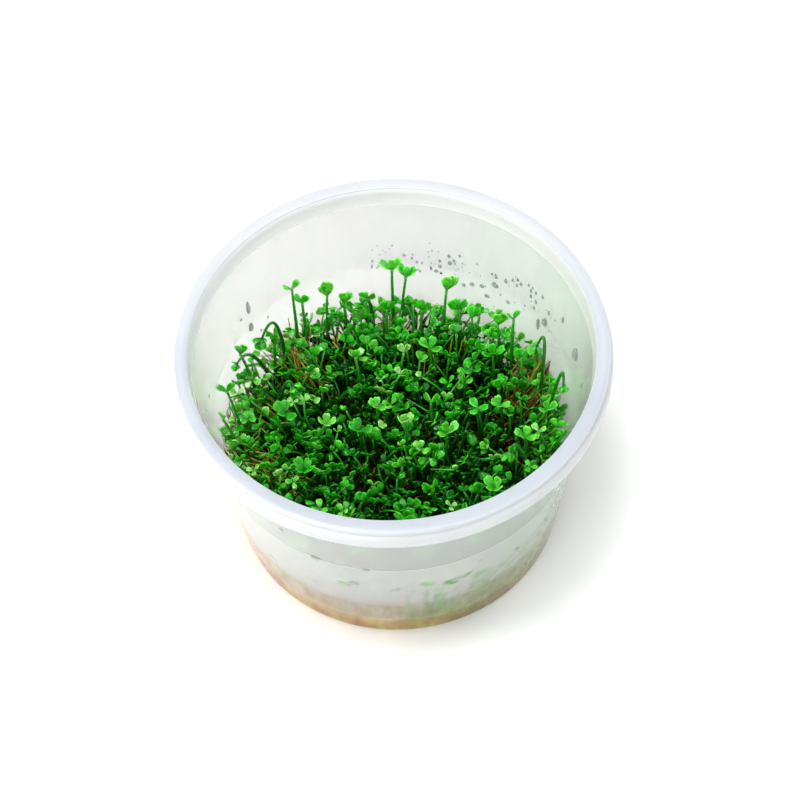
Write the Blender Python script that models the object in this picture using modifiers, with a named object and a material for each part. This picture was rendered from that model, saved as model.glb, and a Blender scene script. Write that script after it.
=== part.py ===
"""Water clover grown as a tissue culture: a clear cup with a skirted rim, a layer of
gel, a mat of roots, the low growth of short fronds, and the taller fronds above it.

Metres, +Z up. The origin is the centre of the cup's foot, on the surface it stands on.
"""

import math
import random

import bmesh
import bpy
from mathutils import Matrix, Vector, noise
from mathutils.bvhtree import BVHTree

MM = 0.001

# Cup: radii and heights of the moulding
CUP_HEIGHT = 61.5 * MM
FOOT_RADIUS = 39.2 * MM
MOUTH_RADIUS = 46.05 * MM
WALL = 0.85 * MM
FLOOR_THICKNESS = 0.9 * MM
FOOT_RECESS = 0.7 * MM
FOOT_RING_WIDTH = 1.8 * MM
HEEL = 1.2 * MM
INNER_HEEL = 2.0 * MM
STEP_HEIGHT = 35.8 * MM
STEP_DEPTH = 0.25 * MM
STEP_SPREAD = 0.4 * MM
SEAL_RING_RADIUS = 48.9 * MM
RIM_RADIUS = 50.0 * MM
SKIRT_HEIGHT = 5.3 * MM
RIM_WALL = 0.8 * MM
GROOVE_DROP = 1.5 * MM
BEAD_DROP = 2.2 * MM
EDGE_BREAK = 0.3 * MM
SEAL_RING_BEVEL = 0.5 * MM
FOOT_RING_SLOPE = 0.6 * MM
CUP_STEPS = 44

# What stands in the cup
GAP = 0.3 * MM
GEL_TOP = 7.2 * MM
GEL_MENISCUS = 0.5 * MM
MENISCUS_WIDTH = 1.5 * MM
GEL_STEPS = 32
MAT_TOP = 15.5 * MM
MAT_SIDES = 36
MAT_INSETS = (1.2 * MM, 9.0 * MM, 9.0 * MM)
MAT_LUMP = 0.9 * MM
MAT_LUMP_SPACING = 6.0 * MM
MAT_SIDE_LUMP = 0.3 * MM
LOW_GROWTH_MIDDLE = 24.2 * MM
LOW_GROWTH_FRONT = 21.0 * MM
LOW_GROWTH_BACK = 26.8 * MM
LOW_GROWTH_BACK_FROM = -0.55
LOW_GROWTH_BACK_TO = 0.15
LOW_GROWTH_SHOULDER = 0.72
LOW_GROWTH_SWELL = 1.6 * MM
LUMPS_ACROSS = 15
LUMP_DEPTH = 3.2 * MM
LUMP_RISE = 1.6 * MM
LUMP_SHIFT = 0.22
LOW_GROWTH_RAGGED = 0.03

# Fronds
PETIOLE_RADIUS = 0.33 * MM
PETIOLE_POINTS = 5
LEAFLET_SIDES = 6
LEAFLET_THICKNESS = 0.8 * MM
LEAFLET_ROUNDNESS = 0.6
LEAFLET_NOTCH = 0.3
LEAFLET_TOP = 0.25
LEAFLET_UNDERSIDE = 0.75
CREASE_ANGLE = math.radians(50)
LEAFLET_LIFT = {2: 50, 3: 22, 4: 14}
GOLDEN_ANGLE = math.radians(137.5)
SEED = 7

# Each frond in millimetres: foot x, y; head x, y, z; leaflets; leaflet length
BACK_FRONDS = (
    (-23.0, 29.0, -23.5, 33.1, 41.0, 2, 2.5),
    (-21.0, 30.4, -21.3, 32.2, 36.5, 2, 2.6),
    (-15.9, 32.3, -15.2, 34.0, 36.5, 2, 2.8),
    (-10.9, 33.2, -11.3, 34.7, 32.5, 2, 2.6),
    (-4.4, 33.8, -6.9, 35.4, 30.8, 2, 2.0),
    (0.6, 34.4, 0.8, 38.9, 39.4, 2, 2.4),
    (2.4, 34.0, 4.2, 37.2, 38.6, 2, 2.4),
    (-1.5, 29.9, -0.8, 33.2, 31.2, 3, 2.3),
    (7.2, 30.6, 7.7, 32.9, 30.6, 3, 2.4),
    (12.7, 31.2, 13.9, 34.1, 36.5, 2, 3.4),
    (17.4, 27.8, 16.4, 31.0, 32.6, 3, 2.5),
    (19.6, 25.8, 19.8, 28.6, 32.0, 2, 2.5),
    (26.4, 23.1, 25.8, 24.7, 34.0, 2, 3.0),
    (28.9, 19.9, 29.5, 23.7, 37.5, 2, 2.2),
)
RIGHT_FRONDS = (
    (35.3, 11.0, 34.8, 18.0, 33.8, 3, 2.9),
    (31.2, 11.4, 30.9, 16.3, 32.0, 3, 2.3),
    (36.6, 3.6, 40.0, 4.6, 36.0, 3, 2.0),
    (36.5, -6.2, 39.8, -6.3, 33.0, 2, 2.2),
    (35.0, 0.6, 36.0, 1.6, 30.5, 3, 2.3),
    (30.8, -5.7, 30.4, -5.2, 29.6, 4, 2.7),
    (26.0, 5.2, 25.1, 4.5, 29.2, 4, 2.4),
    (36.5, -5.2, 33.5, -4.3, 30.5, 2, 2.0),
    (30.7, -10.0, 26.8, -9.1, 29.4, 3, 2.7),
)
LEFT_FRONDS = (
    (-33.4, 15.9, -36.3, 17.7, 36.5, 2, 2.6),
    (-30.4, 19.7, -37.2, 16.0, 34.9, 3, 1.9),
    (-26.2, 24.3, -31.2, 23.9, 34.2, 3, 3.0),
    (-36.8, 4.0, -39.3, 6.5, 37.0, 3, 2.5),
    (-37.0, -1.6, -40.3, -0.4, 35.5, 3, 1.9),
    (-28.8, 21.6, -28.6, 24.8, 30.4, 3, 1.9),
    (-25.6, 6.3, -26.2, 4.9, 29.4, 4, 3.2),
    (-26.2, -5.2, -27.4, -4.3, 29.2, 2, 2.4),
    (-27.5, 12.9, -24.2, 12.6, 29.6, 2, 1.8),
)
MIDDLE_FRONDS = (
    (-7.8, 17.2, -9.1, 20.7, 29.0, 2, 1.8),
    (1.6, 19.7, 2.8, 20.9, 29.5, 2, 2.2),
    (9.5, 20.4, 9.2, 22.0, 29.5, 4, 3.0),
    (17.2, 13.4, 17.0, 12.7, 29.4, 3, 2.4),
    (24.5, 16.9, 24.3, 19.1, 29.4, 3, 3.0),
    (25.5, 10.0, 24.9, 9.2, 29.6, 3, 2.4),
    (-4.1, 4.9, -4.2, 5.7, 29.0, 4, 2.4),
    (-20.4, -0.3, -16.5, 1.2, 29.4, 4, 2.6),
    (2.7, -1.0, 2.3, 0.2, 29.4, 3, 2.8),
    (-8.4, -1.0, -8.5, -0.7, 29.0, 4, 3.0),
    (11.9, -3.8, 12.1, -2.9, 29.4, 3, 3.0),
    (8.8, 5.0, 8.7, 6.3, 28.8, 2, 2.6),
    (21.0, 2.6, 19.6, 4.1, 29.0, 2, 2.5),
    (-22.0, -11.6, -21.8, -11.5, 29.4, 4, 3.1),
    (0.8, -12.0, 1.1, -11.5, 28.8, 3, 2.4),
)
FRONT_FRONDS = (
    (-28.9, -21.5, -30.4, -22.8, 31.0, 3, 2.5),
    (-21.0, -29.6, -22.5, -30.9, 30.0, 3, 2.7),
    (-9.9, -32.1, -10.2, -34.3, 31.0, 3, 2.5),
    (0.6, -25.6, 1.0, -26.6, 28.8, 3, 2.8),
    (5.1, -34.5, 5.2, -36.6, 30.0, 2, 2.7),
    (8.4, -18.0, 8.0, -18.3, 28.8, 2, 2.5),
    (15.5, -29.7, 16.6, -31.5, 31.0, 3, 2.7),
    (22.5, -19.1, 22.2, -18.9, 29.4, 4, 3.0),
    (27.1, -24.0, 28.9, -25.5, 32.0, 3, 2.5),
)

# Petioles that arch over before they reach their head: the pull on the arch in x, y, z
ARCHED = {
    "back_frond_5": (-0.1, -0.4, 5.8),
    "right_frond_1": (1.2, 3.8, 7.7),
    "right_frond_3": (1.8, 1.6, 7.9),
    "right_frond_9": (-1.5, 1.1, 4.1),
    "left_frond_2": (-1.6, -1.4, 6.1),
    "left_frond_3": (-0.4, 1.3, 7.4),
    "left_frond_9": (1.2, -0.4, 4.0),
}


def clear_scene():
    for old in list(bpy.data.objects):
        bpy.data.objects.remove(old, do_unlink=True)


def new_collection(name):
    made = bpy.data.collections.new(name)
    bpy.context.scene.collection.children.link(made)
    return made


def plain_material(name, colour, roughness, alpha=1.0):
    made = bpy.data.materials.new(name)
    made.use_nodes = True
    shader = made.node_tree.nodes["Principled BSDF"]
    shader.inputs["Base Color"].default_value = (*colour, 1.0)
    shader.inputs["Roughness"].default_value = roughness
    shader.inputs["Metallic"].default_value = 0.0
    shader.inputs["Alpha"].default_value = alpha
    made.diffuse_color = (*colour, alpha)
    return made


def add_piece(name, mesh, material, collection):
    piece = bpy.data.objects.new(name, mesh)
    mesh.materials.clear()
    mesh.materials.append(material)
    collection.objects.link(piece)
    return piece


def turned_piece(name, outline, steps, material, collection):
    """A profile of (radius, height) points, turned about the Z axis."""
    mesh = bpy.data.meshes.new(name)
    points = [(radius, 0.0, height) for radius, height in outline]
    edges = [(i, i + 1) for i in range(len(points) - 1)]
    mesh.from_pydata(points, edges, [])
    piece = add_piece(name, mesh, material, collection)
    turn = piece.modifiers.new("turn", "SCREW")
    turn.axis = "Z"
    turn.angle = math.tau
    turn.steps = steps
    turn.render_steps = steps
    turn.use_merge_vertices = True
    turn.merge_threshold = 0.00001
    turn.use_smooth_shade = True
    return piece


def outer_wall(height):
    """Radius of the cup's outside at a height, along its draft."""
    top = MOUTH_RADIUS + WALL
    return FOOT_RADIUS + (top - FOOT_RADIUS) * height / CUP_HEIGHT


def inner_wall(height):
    return outer_wall(height) - WALL


def arc(centre, radius, start, end, count):
    """Points on an arc in the profile's plane, angles in degrees from +X."""
    angles = [math.radians(start + (end - start) * i / (count - 1)) for i in range(count)]
    return [
        (centre[0] + radius * math.cos(a), centre[1] + radius * math.sin(a)) for a in angles
    ]


def stepped(wall):
    """The stacking step in a wall, as two points from the lower to the upper."""
    radius = wall(STEP_HEIGHT)
    return [(radius - STEP_DEPTH, STEP_HEIGHT - STEP_SPREAD), (radius, STEP_HEIGHT + STEP_SPREAD)]


def cup_outline():
    """Inside floor, inner wall, sealing ring, groove, skirt, outer wall and foot."""
    floor = FOOT_RECESS + FLOOR_THICKNESS
    corner = (inner_wall(INNER_HEEL) - INNER_HEEL, floor + INNER_HEEL)
    inside = [(0.0, floor)] + arc(corner, INNER_HEEL, -90, -5, 3) + stepped(inner_wall)
    skirt_foot = CUP_HEIGHT - SKIRT_HEIGHT
    under_rim = CUP_HEIGHT - RIM_WALL - EDGE_BREAK
    rim = [
        (MOUTH_RADIUS, CUP_HEIGHT - EDGE_BREAK),
        (MOUTH_RADIUS + EDGE_BREAK, CUP_HEIGHT),
        (SEAL_RING_RADIUS, CUP_HEIGHT),
        (SEAL_RING_RADIUS + SEAL_RING_BEVEL, CUP_HEIGHT - SEAL_RING_BEVEL),
        (SEAL_RING_RADIUS + EDGE_BREAK, CUP_HEIGHT - GROOVE_DROP),
        (RIM_RADIUS, CUP_HEIGHT - BEAD_DROP),
        (RIM_RADIUS, skirt_foot + EDGE_BREAK),
        (RIM_RADIUS - EDGE_BREAK, skirt_foot),
        (RIM_RADIUS - RIM_WALL, skirt_foot),
        (SEAL_RING_RADIUS - RIM_WALL + EDGE_BREAK, under_rim),
        (outer_wall(CUP_HEIGHT), under_rim),
    ]
    foot_edge = outer_wall(HEEL) - HEEL
    ring_inside = foot_edge - FOOT_RING_WIDTH
    outside = stepped(outer_wall)[::-1] + arc((foot_edge, HEEL), HEEL, 0, -90, 3)
    recess_edge = ring_inside - FOOT_RING_SLOPE
    outside += [(ring_inside, 0.0), (recess_edge, FOOT_RECESS), (0.0, FOOT_RECESS)]
    return inside + rim + outside


def gel_outline():
    """A disc that fills the floor of the cup, a little higher where it meets the wall."""
    bottom = FOOT_RECESS + FLOOR_THICKNESS + GAP
    edge = inner_wall(GEL_TOP) - GAP - STEP_DEPTH
    low_edge = inner_wall(bottom + INNER_HEEL) - GAP - STEP_DEPTH
    return [
        (0.0, GEL_TOP),
        (edge - MENISCUS_WIDTH, GEL_TOP),
        (edge, GEL_TOP + GEL_MENISCUS),
        (low_edge, bottom + INNER_HEEL),
        (low_edge - INNER_HEEL, bottom),
        (0.0, bottom),
    ]


def wobble(x, y, spacing, seed):
    """Smooth noise from -1 to 1 over the plan of the cup."""
    return noise.noise(Vector((x / spacing, y / spacing, seed)))


def root_mat(material, collection):
    """A short drum with an uneven side and a lumpy top, resting on the gel."""
    low = GEL_TOP + GEL_MENISCUS + GAP
    radius = inner_wall(low) - 3 * GAP
    bm = bmesh.new()
    lift = Matrix.Translation((0, 0, (low + MAT_TOP) / 2))
    drum = {"segments": MAT_SIDES, "radius1": radius, "radius2": radius, "depth": MAT_TOP - low}
    bmesh.ops.create_cone(bm, cap_ends=True, matrix=lift, **drum)
    top = [face for face in bm.faces if face.normal.z > 0.9]
    for inset in MAT_INSETS:
        bmesh.ops.inset_region(bm, faces=top, thickness=inset)
    bmesh.ops.poke(bm, faces=top)
    for vert in bm.verts:
        x, y = vert.co.x, vert.co.y
        if math.hypot(x, y) > radius - GAP:
            dent = MAT_SIDE_LUMP * (1.0 + wobble(x, y, MAT_LUMP_SPACING, vert.co.z / MM))
            vert.co.x *= 1.0 - dent / radius
            vert.co.y *= 1.0 - dent / radius
        if vert.co.z > low + GAP:
            vert.co.z += MAT_LUMP * (wobble(x, y, MAT_LUMP_SPACING, 3.0) - 0.3)
    mesh = bpy.data.meshes.new("root_mat")
    bm.to_mesh(mesh)
    bm.free()
    return add_piece("root_mat", mesh, material, collection)


def low_growth_height(x, y):
    """Height of the low growth over the plan: level in the middle, lower by the front of
    the wall, and higher by its sides and back."""
    radius = inner_wall(LOW_GROWTH_FRONT)
    outward = (math.hypot(x, y) / radius - LOW_GROWTH_SHOULDER) / (1.0 - LOW_GROWTH_SHOULDER)
    backward = (y / radius - LOW_GROWTH_BACK_FROM) / (LOW_GROWTH_BACK_TO - LOW_GROWTH_BACK_FROM)
    backward = min(1.0, max(0.0, backward))
    edge = LOW_GROWTH_FRONT + (LOW_GROWTH_BACK - LOW_GROWTH_FRONT) * backward
    height = LOW_GROWTH_MIDDLE + (edge - LOW_GROWTH_MIDDLE) * max(0.0, outward) ** 1.5
    return height + LOW_GROWTH_SWELL * wobble(x, y, 16 * MM, 11.0)


def low_growth(material, collection):
    """A square grid drawn out to a round plan, each cell raised in its middle into a lump
    of crowded leaves, closed by a side and a flat underside."""
    radius = inner_wall(LOW_GROWTH_FRONT) - 4 * GAP
    cell = 2 * radius / LUMPS_ACROSS
    rng = random.Random(SEED)
    bm = bmesh.new()
    bmesh.ops.create_grid(bm, x_segments=LUMPS_ACROSS, y_segments=LUMPS_ACROSS, size=1.0)
    edge = {vert for side in bm.edges if side.is_boundary for vert in side.verts}
    for vert in bm.verts:
        x = vert.co.x * math.sqrt(1.0 - vert.co.y**2 / 2) * radius
        y = vert.co.y * math.sqrt(1.0 - vert.co.x**2 / 2) * radius
        shift = 0.0 if vert in edge else LUMP_SHIFT * cell
        x += rng.uniform(-shift, shift)
        y += rng.uniform(-shift, shift)
        inward = 1.0 - LOW_GROWTH_RAGGED * rng.random()
        height = low_growth_height(x, y) - LUMP_DEPTH * rng.uniform(0.6, 1.0)
        vert.co = (x * inward, y * inward, height)
    crowns = bmesh.ops.poke(bm, faces=bm.faces[:])["verts"]
    for vert in crowns:
        vert.co.z = low_growth_height(vert.co.x, vert.co.y) + LUMP_RISE * rng.random()
    side = bmesh.ops.extrude_edge_only(bm, edges=[e for e in bm.edges if e.is_boundary])
    for item in side["geom"]:
        if isinstance(item, bmesh.types.BMVert):
            item.co.z = MAT_TOP + MAT_LUMP
    bmesh.ops.contextual_create(bm, geom=[e for e in bm.edges if e.is_boundary])
    bmesh.ops.recalc_face_normals(bm, faces=bm.faces)
    mesh = bpy.data.meshes.new("low_fronds")
    bm.to_mesh(mesh)
    bm.free()
    return add_piece("low_fronds", mesh, material, collection)


def bent_path(foot, head, bow):
    """Points on a petiole that leaves the mat upright and curves to its head."""
    rise = head.z - foot.z
    middle = Vector((foot.x, foot.y, foot.z + 0.6 * rise)) + bow * 2.0
    path = []
    for i in range(PETIOLE_POINTS):
        t = i / (PETIOLE_POINTS - 1)
        path.append(foot * (1 - t) ** 2 + middle * 2 * t * (1 - t) + head * t**2)
    return path


def smooth(mesh):
    """Smooth shading, with the creases kept."""
    mesh.shade_smooth()
    mesh.set_sharp_from_angle(angle=CREASE_ANGLE)


def petiole(name, path):
    """A round stalk along the path, as a closed mesh."""
    curve = bpy.data.curves.new(name, "CURVE")
    curve.dimensions = "3D"
    curve.bevel_depth = PETIOLE_RADIUS
    curve.bevel_resolution = 0
    curve.use_fill_caps = True
    line = curve.splines.new("POLY")
    line.points.add(len(path) - 1)
    for point, place in zip(line.points, path):
        point.co = (*place, 1.0)
    stalk = bpy.data.objects.new(name, curve)
    bpy.context.scene.collection.objects.link(stalk)
    graph = bpy.context.evaluated_depsgraph_get()
    mesh = bpy.data.meshes.new_from_object(stalk.evaluated_get(graph))
    bpy.data.objects.remove(stalk, do_unlink=True)
    bpy.data.curves.remove(curve)
    bm = bmesh.new()
    bm.from_mesh(mesh)
    bmesh.ops.remove_doubles(bm, verts=bm.verts, dist=0.01 * MM)
    bmesh.ops.recalc_face_normals(bm, faces=bm.faces)
    bm.to_mesh(mesh)
    bm.free()
    smooth(mesh)
    return mesh


def clover_head(name, count, length, lift, place):
    """Rounded leaflets in a ring, joined where they meet the petiole: a lens whose rim goes
    in between the leaflets and up to their ends."""
    bm = bmesh.new()
    sides = LEAFLET_SIDES * count
    bmesh.ops.create_uvsphere(bm, u_segments=sides, v_segments=2, radius=1.0)
    for vert in bm.verts:
        flat = Vector((vert.co.x, vert.co.y, 0.0))
        if flat.length < 0.5:
            above = LEAFLET_TOP if vert.co.z > 0 else -LEAFLET_UNDERSIDE
            vert.co = (0.0, 0.0, above * LEAFLET_THICKNESS)
            continue
        lobe = abs(math.cos(count * math.atan2(flat.y, flat.x) / 2)) ** LEAFLET_ROUNDNESS
        reach = length * (LEAFLET_NOTCH + (1.0 - LEAFLET_NOTCH) * lobe)
        flat *= reach
        flat.z = math.tan(lift) * (reach - LEAFLET_NOTCH * length)
        vert.co = flat * math.sqrt(math.cos(lift))
    bmesh.ops.transform(bm, matrix=place, verts=bm.verts)
    mesh = bpy.data.meshes.new(name)
    bm.to_mesh(mesh)
    bm.free()
    smooth(mesh)
    return mesh


def facing(count, number):
    """Turn of a head about its petiole: pairs stay broadside, the others wind round."""
    if count == 2:
        return 0.35 * (number % 3 - 1)
    return GOLDEN_ANGLE * number


def frond(side, number, row, ground, material, collections):
    """A petiole and its leaflets, united into one piece that stands just off the mat."""
    name = f"{side}_frond_{number}"
    foot_x, foot_y, head_x, head_y, head_z, count, length = row
    foot_z = standing_height(ground, foot_x * MM, foot_y * MM)
    foot = Vector((foot_x * MM, foot_y * MM, foot_z))
    head = Vector((head_x, head_y, head_z)) * MM
    path = bent_path(foot, head, Vector(ARCHED.get(name, (0, 0, 0))) * MM)
    piece = add_piece(name, petiole(name, path), material, collections[0])
    lift = math.radians(LEAFLET_LIFT[count])
    lean = (head - path[-2]).to_track_quat("Z", "Y").to_matrix().to_4x4()
    place = Matrix.Translation(head) @ lean @ Matrix.Rotation(facing(count, number), 4, "Z")
    blades = clover_head(f"{name}_leaflets", count, length * MM, lift, place)
    leaflets = bpy.data.objects.new(blades.name, blades)
    collections[1].objects.link(leaflets)
    leaflets.hide_render = True
    leaflets.display_type = "WIRE"
    union = piece.modifiers.new("leaflets", "BOOLEAN")
    union.operation = "UNION"
    union.solver = "EXACT"
    union.object = leaflets


def standing_height(ground, x, y):
    """Height just above the low growth, over the whole foot of a petiole."""
    heights = []
    for side_x, side_y in ((0, 0), (1, 0), (-1, 0), (0, 1), (0, -1)):
        start = Vector((x + side_x * PETIOLE_RADIUS, y + side_y * PETIOLE_RADIUS, CUP_HEIGHT))
        spot = ground.ray_cast(start, Vector((0, 0, -1)))[0]
        heights.append(spot.z if spot else MAT_TOP)
    return max(heights) + GAP


def build():
    clear_scene()
    clover = new_collection("water_clover")
    cutters = new_collection("cutters")
    milky = plain_material("cup_plastic", (0.86, 0.88, 0.90), 0.35, alpha=0.4)
    amber = plain_material("amber_gel", (0.72, 0.42, 0.16), 0.15, alpha=0.6)
    brown = plain_material("root_brown", (0.13, 0.08, 0.05), 0.8)
    deep_green = plain_material("low_green", (0.05, 0.22, 0.03), 0.55)
    fresh_green = plain_material("frond_green", (0.11, 0.46, 0.05), 0.45)
    turned_piece("culture_cup", cup_outline(), CUP_STEPS, milky, clover)
    turned_piece("agar_gel", gel_outline(), GEL_STEPS, amber, clover)
    root_mat(brown, clover)
    growth = low_growth(deep_green, clover)
    bpy.context.view_layer.update()
    ground = BVHTree.FromObject(growth, bpy.context.evaluated_depsgraph_get())
    stands = (
        ("back", BACK_FRONDS),
        ("right", RIGHT_FRONDS),
        ("left", LEFT_FRONDS),
        ("middle", MIDDLE_FRONDS),
        ("front", FRONT_FRONDS),
    )
    for side, rows in stands:
        for number, row in enumerate(rows, 1):
            frond(side, number, row, ground, fresh_green, (clover, cutters))


build()
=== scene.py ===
"""Water clover grown in a culture cup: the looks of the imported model.

Metres, +Z up, the origin at the centre of the cup's foot. Every piece stands where its
solid stands; the crowd of short fronds stands in the room of the low growth's solid.
"""

import math
import random

import bpy
from mathutils import Matrix, Vector, noise


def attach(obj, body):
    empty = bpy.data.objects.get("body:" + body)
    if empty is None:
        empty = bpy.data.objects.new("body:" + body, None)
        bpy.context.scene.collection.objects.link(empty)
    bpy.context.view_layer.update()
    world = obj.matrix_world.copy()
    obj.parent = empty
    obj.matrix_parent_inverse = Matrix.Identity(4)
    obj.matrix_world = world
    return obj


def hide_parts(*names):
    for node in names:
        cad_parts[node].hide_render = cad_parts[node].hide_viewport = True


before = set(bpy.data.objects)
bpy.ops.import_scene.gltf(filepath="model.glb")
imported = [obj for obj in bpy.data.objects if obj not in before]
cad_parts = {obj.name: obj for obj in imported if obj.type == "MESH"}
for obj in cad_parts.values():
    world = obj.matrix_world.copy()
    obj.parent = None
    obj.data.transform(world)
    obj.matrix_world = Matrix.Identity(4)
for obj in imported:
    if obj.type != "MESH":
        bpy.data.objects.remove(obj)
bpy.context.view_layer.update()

MM = 0.001
chance = random.Random(11)

# The cup's walls, as the moulding is drawn
CUP_HEIGHT = 61.5 * MM
FOOT_RADIUS = 39.2 * MM
MOUTH_RADIUS = 46.05 * MM
WALL = 0.85 * MM
FLOOR_TOP = 1.6 * MM
GEL_TOP = 7.3 * MM
MAT_BOTTOM = 8.0 * MM
MAT_TOP = 15.4 * MM
GROWTH_RADIUS = 40.98 * MM

# Where the rim's plastic begins on the bead, and the collar's on the inside of the wall
BEAD_EDGE = 61.25 * MM
COLLAR_FOOT = 56.4 * MM

# Radii of what is drawn along a path
TALL_PETIOLE = 0.4 * MM
SHORT_PETIOLE = 0.3 * MM
YOUNG_PETIOLE = 0.27 * MM
PALE_PETIOLE = 0.24 * MM
PRESSED_PETIOLE = 0.22 * MM
OLD_STEM = 0.21 * MM
WALL_ROOT = 0.11 * MM
GEL_ROOT = 0.09 * MM

# Points on such a path: all paths of one mesh have the same number
SHORT_POINTS = 9
STEM_POINTS = 8


def outer_wall(height):
    """Radius of the cup's outside at a height."""
    return FOOT_RADIUS + (MOUTH_RADIUS + WALL - FOOT_RADIUS) * height / CUP_HEIGHT


def inner_wall(height):
    return outer_wall(height) - WALL


# Places and offsets


def on_plan(radius, angle, height):
    """A point at an angle round the cup, in radians."""
    return Vector((radius * math.cos(angle), radius * math.sin(angle), height))


def wobble(amount):
    """A random offset on the plan, its usual size in millimetres."""
    return Vector((chance.gauss(0, amount), chance.gauss(0, amount), 0)) * MM


def kept_inside(place, room):
    """Draws a point in towards the axis until it is clear of the wall."""
    limit = inner_wall(place.z) - room
    flat = math.hypot(place.x, place.y)
    if flat > limit:
        place.x *= limit / flat
        place.y *= limit / flat
    return place


def clamp(value):
    return min(1.0, max(0.0, value))


# Modelling helpers


def pick(*pieces):
    """Selects these pieces alone, the first one active."""
    bpy.ops.object.select_all(action="DESELECT")
    for piece in pieces:
        piece.select_set(True)
    bpy.context.view_layer.objects.active = pieces[0]


def added(name):
    """Names the object that was just added."""
    piece = bpy.context.active_object
    piece.name = name
    piece.data.name = name
    return piece


def settle(piece):
    """Puts the place, turn and size of an object into its mesh."""
    pick(piece)
    bpy.ops.object.transform_apply(location=True, rotation=True, scale=True)
    return piece


def joined(name, pieces):
    """Joins pieces into one mesh at the origin."""
    bpy.context.view_layer.update()
    pick(*pieces)
    bpy.ops.object.join()
    return settle(added(name))


def done(piece, material, slot, *nodes):
    """Gives a piece its material and rides it on the cup; the slot is not used."""
    piece.data.materials.clear()
    piece.data.materials.append(material)
    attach(piece, "root")
    if nodes:
        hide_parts(*nodes)


def marked(piece, name, values):
    """Stores one number a vertex, for the material to read."""
    mark = piece.data.attributes.get(name) or piece.data.attributes.new(name, "FLOAT", "POINT")
    mark.data.foreach_set("value", values)


def copied(master, place, tone):
    """A copy of a modelled piece with its own mesh and its own tone of green."""
    twin = master.copy()
    twin.data = master.data.copy()
    bpy.context.scene.collection.objects.link(twin)
    twin.matrix_world = place
    marked(twin, "tone", [tone] * len(twin.data.vertices))
    return twin


def arc(centre, radius, start, end, count):
    """Points on an arc of a profile, angles in degrees from straight out."""
    turns = [math.radians(start + (end - start) * i / (count - 1)) for i in range(count)]
    return [(centre[0] + radius * math.cos(a), centre[1] + radius * math.sin(a)) for a in turns]


def turned(name, outline, steps):
    """A disc whose edge is drawn out from point to point of a profile and closed on the axis."""
    radius, height = outline[1]
    bpy.ops.object.select_all(action="DESELECT")
    bpy.ops.mesh.primitive_circle_add(
        vertices=steps, radius=radius, fill_type="TRIFAN", location=(0, 0, height)
    )
    piece = settle(added(name))
    bpy.ops.object.mode_set(mode="EDIT")
    bpy.ops.mesh.select_mode(type="EDGE")
    bpy.ops.mesh.select_all(action="DESELECT")
    bpy.ops.mesh.select_non_manifold()
    for next_radius, next_height in outline[2:-1]:
        bpy.ops.mesh.extrude_region_move()
        growth = next_radius / radius
        bpy.ops.transform.resize(value=(growth, growth, 1), center_override=(0, 0, 0))
        bpy.ops.transform.translate(value=(0, 0, next_height - height))
        radius, height = next_radius, next_height
    bpy.ops.mesh.extrude_region_move()
    bpy.ops.transform.translate(value=(0, 0, outline[-1][1] - height))
    bpy.ops.mesh.merge(type="CENTER")
    bpy.ops.mesh.select_all(action="SELECT")
    bpy.ops.mesh.normals_make_consistent(inside=False)
    bpy.ops.object.mode_set(mode="OBJECT")
    return piece


def drawn(name, paths, thickness, rounding=0):
    """Stalks or threads along many paths, in one mesh: four-sided, and rounder by two sides
    for each step of rounding. A path is a list of (point, share of the thickness)."""
    bpy.ops.object.select_all(action="DESELECT")
    bpy.ops.curve.primitive_bezier_curve_add()
    piece = added(name)
    piece.data.splines.clear()
    piece.data.bevel_depth = thickness
    piece.data.bevel_resolution = rounding
    piece.data.use_fill_caps = True
    for path in paths:
        line = piece.data.splines.new("POLY")
        line.points.add(len(path) - 1)
        for point, (place, share) in zip(line.points, path):
            point.co = (*place, 1.0)
            point.radius = share
    bpy.ops.object.convert(target="MESH")
    piece = added(name)
    settle(piece)
    bpy.ops.object.shade_smooth()
    return piece


def merged(piece):
    """Closes the caps of drawn stalks onto their sides."""
    pick(piece)
    bpy.ops.object.mode_set(mode="EDIT")
    bpy.ops.mesh.select_all(action="SELECT")
    bpy.ops.mesh.remove_doubles(threshold=0.000001)
    bpy.ops.mesh.normals_make_consistent(inside=False)
    bpy.ops.object.mode_set(mode="OBJECT")
    return piece


def pressed(piece):
    """Presses what would reach the wall flat against its inside."""
    for vert in piece.data.vertices:
        kept_inside(vert.co, 0.08 * MM)
    return piece


# Materials


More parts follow.
